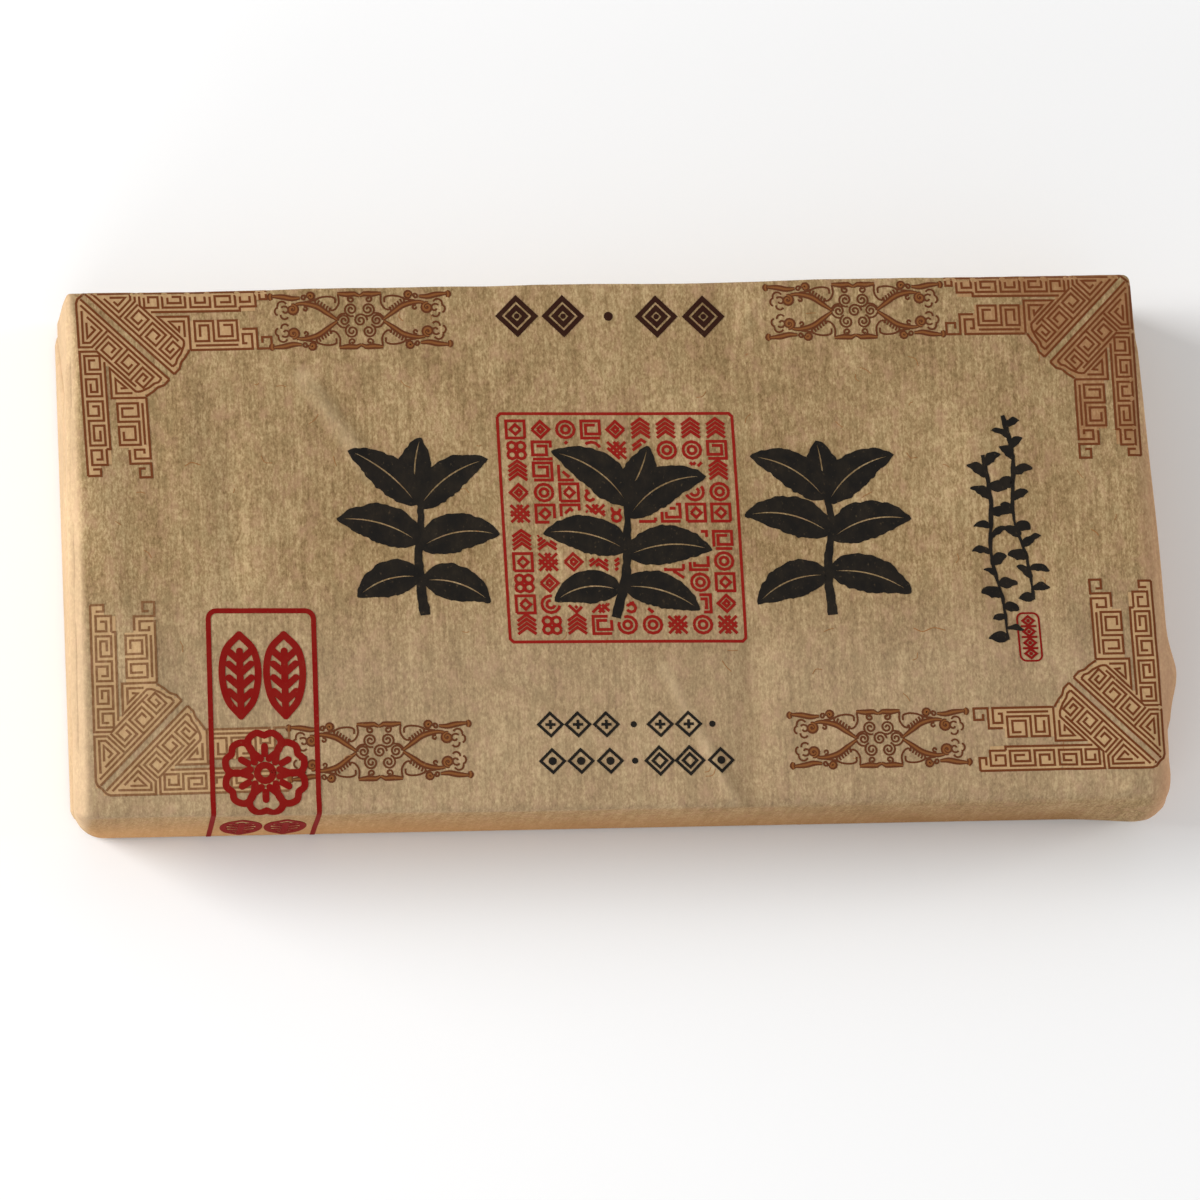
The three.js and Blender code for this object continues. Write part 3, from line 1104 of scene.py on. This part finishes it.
class PrintFrets(bpy.types.Operator):
    """Prints the key-pattern ornament at the four corners, its lines over a thin ground"""

    bl_idname = "tea.print_frets"
    bl_label = "Corner frets"

    def execute(self, context):
        ink = ink_settings()
        # The frets' ink is painted paler at the front left, a painted highlight of glare
        fret_ink = ink_finish("fret_ink", ink.fret, 0.25, glare=0.32)
        tones = (
            ("fret_grounds", fret_ground(), GROUND_WIDTH, ground_finish()),
            ("corner_frets", half_fret(), mm(ink.fret_line), fret_ink),
        )
        for name, half, width, finish in tones:
            art = Artwork()
            for place in FRET_CORNERS:
                for path in map(lengthened, half):
                    art.line(path, width, place)
                    art.line([(y, x) for x, y in path], width, place)
            art.lay(name, finish)
        return {"FINISHED"}


# Scroll panels, each drawn as one quarter round its middle and mirrored

SCROLLS = (
    Placement((-28.0, 25.7), (1, 0.004), (-0.005, 1)),
    Placement((26.5, 26.0), (1, 0.004), (-0.012, 1)),
    Placement((-27.6, -21.8), (1, 0.0045), (-0.004, 1)),
    Placement((26.95, -21.6), (1, 0.0), (-0.02, 1)),
)
QUARTERS = (1, 1), (-1, 1), (-1, -1), (1, -1)


def swelling(width):
    """How far the edges of a stroke lie from its path, when it is boldest in its middle."""
    def sides(share):
        half = width / 2 * (0.8 + 0.75 * math.sin(math.pi * share))
        return -half, half
    return sides


def scroll_quarter():
    """A scroll's upper right quarter: its bold lines, and its fine ones."""
    bold = [
        curve([(2.55, 0.1), (3.6, 0.85), (4.7, 1.6), (6.1, 1.95), (7.0, 1.9)]),
        [(0, 2.7), (0.5, 2.95), (1.4, 2.9), (2.4, 3.0)],
        curve([(6.5, 2.6), (7.4, 2.55), (8.4, 2.75), (9.5, 2.85)]),
        curve([(9.6, 3.15), (9.75, 2.8), (9.65, 2.4)], 3),
        curl((7.35, 1.35), 0.5, 0.14, 75, 480, 18),
        curl((5.35, 2.75), 0.3, 0.1, 0, 400, 12),
    ]
    fine = [
        curve([(2.35, 2.9), (2.3, 2.0), (2.65, 1.35), (3.1, 1.15), (3.35, 1.45)]),
        curve([(2.7, 1.95), (2.75, 2.5), (3.4, 2.7), (4.3, 2.6), (5.0, 2.3), (6.0, 2.15)]),
        curl((0.95, 2.35), 0.42, 0.1, 100, -430, 14),
        curl((8.5, 1.75), 0.5, 0.5, -10, 165, 8),
        curl((8.85, 1.15), 0.45, 0.45, -70, 150, 8),
        curl((8.25, 0.7), 0.42, 0.42, -150, 160, 8),
        curl((8.2, 1.25), 0.5, 0.2, 40, 300, 12),
        curl((6.0, 1.35), 0.28, 0.12, 60, 330, 10),
        curl((6.1, 2.6), 0.32, 0.1, 180, -420, 12),
    ]
    for number in range(6):
        foot = 3.25 + 0.3 * number
        base = lerp(0.7, 1.75, number / 5)
        fine.append(curve([(foot, base), (foot + 0.12, base + 0.4), (foot - 0.05, base + 0.75)], 3))
    return bold, fine


def rosette():
    """The round spirals in the middle of a scroll."""
    paths = [curl((0, 0), 0.76, 0.1, 0, 640, 26)]
    for x, y, turn in ((0.86, 1.22, 1), (-0.98, 1.22, -1), (0.9, -1.2, -1), (-0.96, -1.2, 1)):
        start = -110 if y > 0 else 110
        paths.append(curl((x, y), 0.78, 0.1, start if turn > 0 else 180 - start, turn * 660, 28))
    for side in (-1, 1):
        paths.append(curl((side * 1.78, 0), 0.66, 0.1, 90 - side * 90, side * 580, 24))
        round_end = [(1.5, 0.82), (2.2, 0.66), (2.62, 0), (2.2, -0.66), (1.5, -0.82)]
        paths.append(curve(turned(round_end, side), 4))
    return paths


class PrintScrolls(bpy.types.Operator):
    """Prints the four scroll panels between the corners, each bold line with a paler core"""

    bl_idname = "tea.print_scrolls"
    bl_label = "Scroll panels"

    def execute(self, context):
        ink = ink_settings()
        bold, fine = scroll_quarter()
        tones = (
            ("scroll_panels", ink.scroll_line, fine, rosette(), "scroll_ink", ink.scroll),
            ("scroll_cores", ink.scroll_core, [], [], "scroll_core_ink", ink.core),
        )
        for name, width, thin, middle, finish, colour in tones:
            art = Artwork()
            for place in SCROLLS:
                for quarter in QUARTERS:
                    for path in bold:
                        art.stroke(turned(path, *quarter), swelling(mm(width)), place)
                    for path in thin:
                        art.line(turned(path, *quarter), mm(ink.scroll_fine), place)
                for path in middle:
                    art.line(path, mm(ink.scroll_fine), place)
            art.lay(name, ink_finish(finish, colour, 0.25))
        return {"FINISHED"}


# The middle of the face: a red square of small marks, and three bold leaf sprigs over it

MIDDLE = Placement((-0.32, 2.28), (1, -0.0144), (-0.0194, 1))
SQUARE = 12.9, 12.62  # half its width and height
SPRIG_STEP = 0.3
STEM_WIDTH = 1.1
STEM_RAGS = 0.14
MIDRIB_GAP = 0.16
LEAF_STEPS = 14
LEAF_GRAIN = 1.9
LEAF_RAGS = 0.2


def ragged(share, seed, amount, grain=22.0):
    """The uneven edge of a stroke that was cut in wood and printed."""
    return amount * noise.noise(Vector((share * grain, seed * 7.3, 0.5)))


def add_leaf(art, root, tip, width, bend, seed, place=MIDDLE, midrib=MIDRIB_GAP):
    """One leaf from its root to its tip, in two halves. midrib is the gap between them, or below 0
    how far they overlap."""
    root, tip = Vector(root), Vector(tip)
    way = tip - root
    aside = Vector((-way.y, way.x)) * bend
    shares = [step / LEAF_STEPS for step in range(LEAF_STEPS + 1)]
    path = [root + way * t + aside * (4 * t * (1 - t)) for t in shares]
    grain = way.length * LEAF_GRAIN

    def breadth(share):
        return width / 2 * math.sin(math.pi * clamp(share, 0, 1) ** 0.78) ** 0.75 + 0.04

    def gap(share):
        return midrib / 2 * math.sin(math.pi * clamp((share - 0.08) / 0.84)) ** 0.5

    def left(share):
        return gap(share), breadth(share) + ragged(share, seed, LEAF_RAGS, grain)

    def right(share):
        return -breadth(share) + ragged(share, seed + 31, LEAF_RAGS, grain), -gap(share)

    for sides in (left, right):
        art.stroke(path, sides, place, lanes=5, step=SPRIG_STEP)


def add_stem(art, points, width, seed, place=MIDDLE):
    """A stem through a few points, thinner at its upper end."""
    path = curve(points, 5)

    def sides(share):
        half = width / 2 * lerp(1, 0.55, share)
        return -half + ragged(share, seed, STEM_RAGS), half + ragged(share, seed + 17, STEM_RAGS)

    art.stroke(path, sides, place, lanes=2, step=SPRIG_STEP)


# Each sprig: its stem, and its leaves as root, tip, width and bend
SPRIGS = (
    (
        [(-22.0, -9.6), (-22.4, -4.0), (-21.8, 2.0), (-22.3, 5.5)],
        [
            ((-22.3, 4.6), (-21.4, 10.0), 3.6, 0.05),
            ((-22.2, 2.6), (-29.4, 8.6), 3.9, -0.08),
            ((-22.0, 2.2), (-14.2, 7.6), 3.9, 0.1),
            ((-22.2, -1.6), (-31.0, 1.0), 4.3, -0.1),
            ((-22.1, -2.2), (-13.4, -0.8), 4.2, 0.12),
            ((-22.3, -5.4), (-29.2, -7.6), 3.9, -0.12),
            ((-22.1, -5.8), (-14.8, -8.2), 3.9, 0.12),
        ],
    ),
    (
        [(-1.2, -10.0), (0.2, -5.0), (0.6, 0.0), (1.2, 5.0)],
        [
            ((1.1, 4.0), (3.4, 9.0), 3.4, -0.05),
            ((0.9, 2.4), (-7.2, 8.4), 4.2, -0.12),
            ((0.8, 1.0), (9.6, 5.6), 4.2, 0.14),
            ((0.4, -2.6), (-8.6, -0.6), 4.1, -0.1),
            ((0.4, -3.2), (9.8, -2.6), 4.2, 0.1),
            ((-0.6, -7.0), (-7.8, -8.2), 3.6, -0.14),
            ((-0.2, -6.6), (8.0, -9.2), 3.8, 0.1),
        ],
    ),
    (
        [(22.6, -9.8), (22.4, -4.6), (23.2, 0.4), (22.4, 5.0)],
        [
            ((22.5, 4.4), (22.0, 9.6), 3.5, -0.04),
            ((22.7, 3.0), (14.6, 7.8), 4.0, -0.12),
            ((22.9, 2.6), (30.6, 8.0), 4.0, 0.12),
            ((23.0, -0.8), (13.6, 1.2), 4.2, -0.12),
            ((23.0, -1.4), (32.0, 0.8), 4.3, 0.12),
            ((22.4, -5.4), (14.4, -8.6), 4.0, -0.12),
            ((22.5, -5.0), (31.4, -7.4), 4.2, 0.1),
        ],
    ),
)


def sprig_artwork():
    art = Artwork()
    for number, (stem, leaves) in enumerate(SPRIGS):
        add_stem(art, stem, STEM_WIDTH, number)
        for index, (root, tip, width, bend) in enumerate(leaves):
            add_leaf(art, root, tip, width, bend, number * 10 + index)
    return art


class PrintSprigs(bpy.types.Operator):
    """Prints the three bold leaf sprigs"""

    bl_idname = "tea.print_sprigs"
    bl_label = "Leaf sprigs"

    def execute(self, context):
        art = sprig_artwork()
        art.lay("leaf_sprigs", ink_finish("black_ink", ink_settings().black, 0.22))
        return {"FINISHED"}


SEAL_COLUMNS = 9
SEAL_ROWS = 10
SEAL_MARGIN = 1.75  # from the frame to the first row's middle
SEAL_CORNER = 0.35
COLUMN_PITCH = 2.75
ROW_PITCH = 2.33
ROW_GAP = 0.7  # between the two halves of the rows
MARK_HEIGHT = 0.95  # half of it, and half its width is 1
HALO = 0.34  # bare paper round the black ink
RED_STEP = 0.22


def seal_marks():
    """A few small ornaments, each a list of paths in a square from -1 to 1."""
    box = [(-1, -1), (1, -1), (1, 1), (-1, 1), (-1, -1)]
    spiral = [box_spiral(-1, -1, 1, 1, 0, 1, 0.48)]
    diamond = [(-1, 0), (0, 1), (1, 0), (0, -1), (-1, 0)]
    diamonds = [turned(diamond, size, size) for size in (0.95, 0.35)]
    framed = [box, turned(diamonds[0], 0.6, 0.6)]
    chevrons = [[(-1, y - 0.45), (0, y + 0.3), (1, y - 0.45)] for y in (-0.55, -0.05, 0.45, 0.95)]
    lattice = [[(shift - 1, -1), (1, 1 - shift)] for shift in (0, 0.7)] + [[(-1, -0.3), (0.3, 1)]]
    lattice += [turned(path, -1) for path in lattice]
    rings = [curl((0, 0), radius, radius, 0, 360, 12) for radius in (0.98, 0.45)]
    petals = [curl((x, y), 0.48, 0.48, 0, 360, 8) for x in (-0.5, 0.5) for y in (-0.5, 0.5)]
    return spiral, diamonds, framed, chevrons, lattice, rings, petals


def clear_of(tree, points, halo):
    """Splits a path where it comes nearer than a halo to the black ink."""
    runs, run = [], []
    for point in points:
        if tree.find_nearest(point.to_3d(), halo)[0] is None:
            run.append(point)
        else:
            runs.append(run)
            run = []
    runs.append(run)
    return [run for run in runs if len(run) > 1]


class PrintSeal(bpy.types.Operator):
    """Prints the red square and its small marks, with a halo left bare round the sprigs"""

    bl_idname = "tea.print_seal"
    bl_label = "Red square"

    def execute(self, context):
        ink = ink_settings()
        width = mm(ink.seal_line)
        black = sprig_artwork().bm
        for vert in black.verts:
            vert.co.z = 0
        tree = BVHTree.FromBMesh(black)
        black.free()
        half_x, half_y = SQUARE
        side, end = half_x - SEAL_CORNER, half_y - SEAL_CORNER
        outline = [(-half_x, end), (-half_x, -end), (-side, -half_y), (side, -half_y), (half_x, -end)]
        outline += [(half_x, end), (side, half_y), (-side, half_y), (-half_x, end)]
        paths = [outline]
        marks = seal_marks()
        draw = random.Random(8)
        for row in range(SEAL_ROWS):
            y = half_y - SEAL_MARGIN - row * ROW_PITCH - (0 if row < SEAL_ROWS / 2 else ROW_GAP)
            for column in range(SEAL_COLUMNS):
                x = (column - (SEAL_COLUMNS - 1) / 2) * COLUMN_PITCH
                flip = draw.choice((-1, 1))
                for path in marks[draw.randrange(len(marks))]:
                    paths.append(moved(turned(path, flip, MARK_HEIGHT), x, y))
        art = Artwork()
        for path in paths:
            points = spaced([MIDDLE(p) for p in path], RED_STEP)
            for run in clear_of(tree, points, HALO):
                art.line(run, width)
        art.lay("red_square", ink_finish("seal_ink", ink.seal, 0.25))
        return {"FINISHED"}


HEADING_Y = 23.5
HEADING_X = -10.1, -5.0, 5.3, 10.5
HEADING_LINE = 0.52
CAPTION_LINE = 0.3
CAPTION_LOZENGE = 1.3, 1.25
UPPER_Y = -21.7
LOWER_Y = -25.7
CROSSED_X = -9.1, -6.1, -3.0, 2.9, 6.0
DOTTED_X = -9.1, -6.0, -2.8, 9.3
DOUBLE_X = 2.6, 5.9
UPPER_DOTS_X = 0, 8.6
LOWER_DOT_X = -0.1
SMALL_DOT = 0.34


class PrintRows(bpy.types.Operator):
    """Prints the row of lozenges at the back and the two small rows at the front"""

    bl_idname = "tea.print_rows"
    bl_label = "Rows of lozenges"

    def execute(self, context):
        art = Artwork()
        for x in HEADING_X:
            for half in (2.0, 0.95):
                path = lozenge(x, HEADING_Y, half, half)
                art.line(path, HEADING_LINE, MIDDLE, closed=True)
            art.dot((x, HEADING_Y), 0.3, MIDDLE)
        art.dot((0, HEADING_Y), 0.5, MIDDLE)
        ink = ink_settings()
        art.lay("heading_lozenges", ink_finish("heading_ink", ink.heading, 0.12))

        art = Artwork()
        for x in CROSSED_X:
            art.line(lozenge(x, UPPER_Y, *CAPTION_LOZENGE), CAPTION_LINE, MIDDLE, closed=True)
            art.line([(x - 0.55, UPPER_Y), (x + 0.55, UPPER_Y)], CAPTION_LINE, MIDDLE)
            art.line([(x, UPPER_Y - 0.5), (x, UPPER_Y + 0.5)], CAPTION_LINE, MIDDLE)
        for x in UPPER_DOTS_X:
            art.dot((x, UPPER_Y), SMALL_DOT, MIDDLE)
        for x in DOTTED_X:
            art.line(lozenge(x, LOWER_Y, *CAPTION_LOZENGE), CAPTION_LINE, MIDDLE, closed=True)
            art.dot((x, LOWER_Y), 0.45, MIDDLE)
        for x in DOUBLE_X:
            for half in (1.5, 0.75):
                art.line(lozenge(x, LOWER_Y, half, half), CAPTION_LINE, MIDDLE, closed=True)
        art.dot((LOWER_DOT_X, LOWER_Y), SMALL_DOT, MIDDLE)
        art.lay("caption_lozenges", ink_finish("caption_ink", ink.black, 0.15))
        return {"FINISHED"}


# The red stamp, which runs over the front edge. Its origin is the middle of its upper side.

STAMP = Placement((-39.93, -6.17), (1, -0.0194), (0.0053, 1))
STAMP_HALF = 5.68  # half its width
STAMP_LENGTH = 40.0  # so that its lower side lies under the brick
STAMP_CORNER = 0.9
STAMP_STROKE = 0.74
STAMP_STEP = 0.25
LEAF_PLACES = (-2.4, 0), (2.4, 0), (-2.4, -23.2), (2.4, -23.2)
FLOWER = 0, -17.7
FLOWER_EYE = 0.85
PETALS = 6


def stamp_motifs():
    """Round-ended strokes: a pair of leaves, a tea flower and a second pair of leaves."""
    half_leaf = curve([(0, -2.6), (1.5, -4.3), (1.95, -6.9), (1.4, -9.7), (0, -11.5)])
    veins = [[(0.2, y), (1.2, y + 0.9)] for y in (-9.7, -8.2, -6.7, -5.3)]
    leaf = [[(0, -4.4), (0, -10.8)]]
    leaf += [turned(path, side) for path in (half_leaf, *veins) for side in (-1, 1)]
    paths = [moved(path, *place) for place in LEAF_PLACES for path in leaf]
    petal = curve([(0.45, 1.55), (1.5, 2.5), (1.75, 3.6), (0.9, 4.35), (0, 4.1)], 4)
    petal_parts = [petal, turned(petal, -1), [(0, 2.1), (0, 2.9)]]
    for number in range(PETALS):
        turn = Matrix.Rotation(math.tau * number / PETALS, 2)
        paths += [[turn @ Vector(point) + Vector(FLOWER) for point in path] for path in petal_parts]
    paths.append(curl(FLOWER, FLOWER_EYE, FLOWER_EYE, 0, 360, 16))
    return paths


class PrintStamp(bpy.types.Operator):
    """Prints the red stamp at the front left, over the front edge"""

    bl_idname = "tea.print_stamp"
    bl_label = "Red stamp"

    def execute(self, context):
        ink = ink_settings()
        art = Artwork()
        outline = rounded_outline(STAMP_HALF, -STAMP_LENGTH, 0, STAMP_CORNER)
        art.line(outline, mm(ink.stamp_line), STAMP, closed=True, step=STAMP_STEP)
        for path in stamp_motifs():
            art.bar(path, STAMP_STROKE, STAMP)
        art.lay("red_stamp", ink_finish("stamp_ink", ink.stamp, 0.16))
        return {"FINISHED"}


# Brush-drawn twigs at the right, and the small red seal under them

TWIGS = (
    [(42.4, 14.0), (43.3, 9.0), (43.0, 3.0), (44.3, -2.0), (44.8, -6.6)],
    [(39.9, 9.6), (40.6, 4.6), (40.3, -1.4), (41.3, -6.2), (41.7, -11.0)],
)
TWIG_WIDTH = 0.5
TWIG_LEAF_BEND = 0.16
TWIG_LEAF_OVERLAP = 0.05  # the halves of a twig's leaf lie over each other
SMALL_SEAL = Placement((44.1, -10.73), (1, -0.01), (-0.04, 1))
SMALL_SEAL_HALF = 1.2, 2.65
SMALL_SEAL_CORNER = 0.65
SMALL_SEAL_LINE = 0.2
SMALL_LOZENGES_Y = -1.85, -0.65, 0.6, 1.8
SMALL_BARS_Y = -1.25, 0, 1.2


class PrintTwigs(bpy.types.Operator):
    """Prints the two slender twigs and the small seal at the right"""

    bl_idname = "tea.print_twigs"
    bl_label = "Twigs and small seal"

    def execute(self, context):
        ink = ink_settings()
        art = Artwork()
        draw = random.Random(3)
        straight = Placement((0, 0))
        for number, knots in enumerate(TWIGS):
            add_stem(art, knots, TWIG_WIDTH, number, straight)
            path = curve(knots, 4)
            for index, spot in enumerate(path[1:]):
                side = -1 if index % 2 else 1
                reach = Vector((side * draw.uniform(1.3, 2.3), draw.uniform(-0.5, 1.5)))
                breadth = draw.uniform(0.6, 1.2)
                bend = TWIG_LEAF_BEND * side
                add_leaf(art, spot, spot + reach, breadth, bend, index, straight, -TWIG_LEAF_OVERLAP)
        art.lay("ink_twigs", ink_finish("brush_ink", ink.black, 0.2))

        art = Artwork()
        half_x, half_y = SMALL_SEAL_HALF
        outline = rounded_outline(half_x, -half_y, half_y, SMALL_SEAL_CORNER)
        art.line(outline, SMALL_SEAL_LINE, SMALL_SEAL, closed=True)
        for y in SMALL_LOZENGES_Y:
            art.line(lozenge(0, y, 0.62, 0.5), 0.26, SMALL_SEAL, closed=True)
            art.dot((0, y), 0.2, SMALL_SEAL)
        for y in SMALL_BARS_Y:
            art.bar([(-0.75, y), (0.75, y)], 0.24, SMALL_SEAL)
        art.lay("small_seal", ink_finish("small_seal_ink", ink.stamp, 0.25))
        return {"FINISHED"}


# Loose fibres pressed into the paper: three longer hairs and many short ones

LONG_HAIRS = (
    [(31.3, -9.5), (32.3, -9.9), (33.5, -9.5), (34.8, -9.8)],
    [(-47.6, 9.8), (-46.9, 10.2), (-45.9, 9.9)],
    [(51.6, 1.1), (52.1, 0.8), (52.4, 0.4)],
)
LONG_WIDTH = 0.084
SHORT_WIDTH = 0.056
SHORT_HAIRS = 70
HAIR_STEP = 0.5


class PressFibres(bpy.types.Operator):
    """Lays loose fibres on the paper's face"""

    bl_idname = "tea.press_fibres"
    bl_label = "Paper fibres"

    def execute(self, context):
        art = Artwork()
        for knots in LONG_HAIRS:
            art.line(curve(knots, 5), LONG_WIDTH, step=HAIR_STEP)
        draw = random.Random(5)
        for _ in range(SHORT_HAIRS):
            start = Vector((draw.uniform(-56, 56), draw.uniform(-25, 27)))
            way = Vector((draw.uniform(-1.2, 1.2), draw.uniform(-1.2, 1.2)))
            bend = Vector((-way.y, way.x)) * draw.uniform(-0.3, 0.3)
            knots = start, start + way / 2 + bend, start + way
            art.line(curve(knots, 4), SHORT_WIDTH, step=HAIR_STEP)
        art.lay("paper_fibres", ink_finish("fibre_brown", paper_settings().fibre, 0.1))
        return {"FINISHED"}


# The stage

CAMERA_PLACE = Vector((-99.277, -136.808, 744.399))
CAMERA_WAY = Vector((0.1288116, 0.1754210, -0.9760302))
CAMERA_UP = Vector((0.0191022, 0.9836082, 0.1793040))
SENSOR = 36.0
NEAREST = 0.01

FLOOR_HALF = 1.6  # half its side, in metres
FLOOR_STEPS = 8

# Each lamp: the setting that holds its power, its two sides and its place, in metres
LAMPS = (
    ("key", (0.5, 0.7), (-0.92, 0.22, 0.42)),
    ("fill", (0.7, 0.4), (-0.55, -0.95, 0.25)),
    ("side", (0.4, 0.7), (1.0, 0.1, 0.22)),
)


def floor_finish():
    finish = Finish("floor")
    clouds = finish.noise(*FLOOR_CLOUDS)
    stage = bpy.context.scene.tea_stage
    shade = tuple(level * 0.98 for level in stage.floor)
    finish.set(Base_Color=finish.mixed(clouds, stage.floor, shade), Roughness=0.9)
    return finish.material


class SetStage(bpy.types.Operator):
    """Makes the floor, the soft studio light and the camera"""

    bl_idname = "tea.set_stage"
    bl_label = "Stage"

    def execute(self, context):
        stage = context.scene.tea_stage
        bm = bmesh.new()
        bmesh.ops.create_grid(bm, x_segments=FLOOR_STEPS, y_segments=FLOOR_STEPS, size=FLOOR_HALF)
        mesh = bpy.data.meshes.new("floor")
        bm.to_mesh(mesh)
        bm.free()
        mesh.materials.append(floor_finish())
        floor = bpy.data.objects.new("floor", mesh)
        context.scene.collection.objects.link(floor)

        for name, size, place in LAMPS:
            light = bpy.data.lights.new(name, "AREA")
            light.shape = "RECTANGLE"
            light.size, light.size_y = size
            light.energy = getattr(stage, name)
            lamp = bpy.data.objects.new(name, light)
            context.scene.collection.objects.link(lamp)
            turn = (-Vector(place)).to_track_quat("-Z", "Y")
            lamp.matrix_world = Matrix.Translation(place) @ turn.to_matrix().to_4x4()

        world = bpy.data.worlds.new("studio")
        world.use_nodes = True
        sky = world.node_tree.nodes["Background"]
        sky.inputs["Color"].default_value = (1, 1, 1, 1)
        sky.inputs["Strength"].default_value = stage.sky
        context.scene.world = world
        context.scene.view_settings.view_transform = "Standard"

        lens = bpy.data.cameras.new("camera")
        lens.lens = stage.lens
        lens.sensor_width = SENSOR
        lens.clip_start = NEAREST
        camera = bpy.data.objects.new("camera", lens)
        context.scene.collection.objects.link(camera)
        side = CAMERA_WAY.cross(CAMERA_UP)
        turn = Matrix((side, CAMERA_UP, -CAMERA_WAY)).transposed().to_4x4()
        camera.matrix_world = Matrix.Translation(CAMERA_PLACE * MM) @ turn
        context.scene.camera = camera
        return {"FINISHED"}


class TeaBrickPanel(bpy.types.Panel):
    """Lists the brick's pieces in the order in which they are made"""

    bl_idname = "VIEW3D_PT_tea_brick"
    bl_label = "Tea brick"
    bl_space_type = "VIEW_3D"
    bl_region_type = "UI"
    bl_category = "Tea brick"

    def draw(self, context):
        for operator in OPERATORS:
            self.layout.operator(operator.bl_idname)
        for group, kind in SETTINGS.items():
            box = self.layout.box()
            for name in kind.__annotations__:
                box.prop(getattr(context.scene, group), name)


SETTINGS = {"tea_paper": PaperSettings, "tea_ink": InkSettings, "tea_stage": StageSettings}
OPERATORS = (
    SetStage,
    WrapBrick,
    FoldEnds,
    LapUnderside,
    PrintFrets,
    PrintScrolls,
    PrintSeal,
    PrintSprigs,
    PrintRows,
    PrintStamp,
    PrintTwigs,
    PressFibres,
)


def register():
    for kind in (*SETTINGS.values(), *OPERATORS, TeaBrickPanel):
        bpy.utils.register_class(kind)
    for name, kind in SETTINGS.items():
        setattr(bpy.types.Scene, name, PointerProperty(type=kind))


def unregister():
    for name in SETTINGS:
        delattr(bpy.types.Scene, name)
    for kind in reversed((*SETTINGS.values(), *OPERATORS, TeaBrickPanel)):
        bpy.utils.unregister_class(kind)


def main():
    register()
    for operator in OPERATORS:
        group, name = operator.bl_idname.split(".")
        getattr(getattr(bpy.ops, group), name)()


if __name__ == "__main__":
    main()
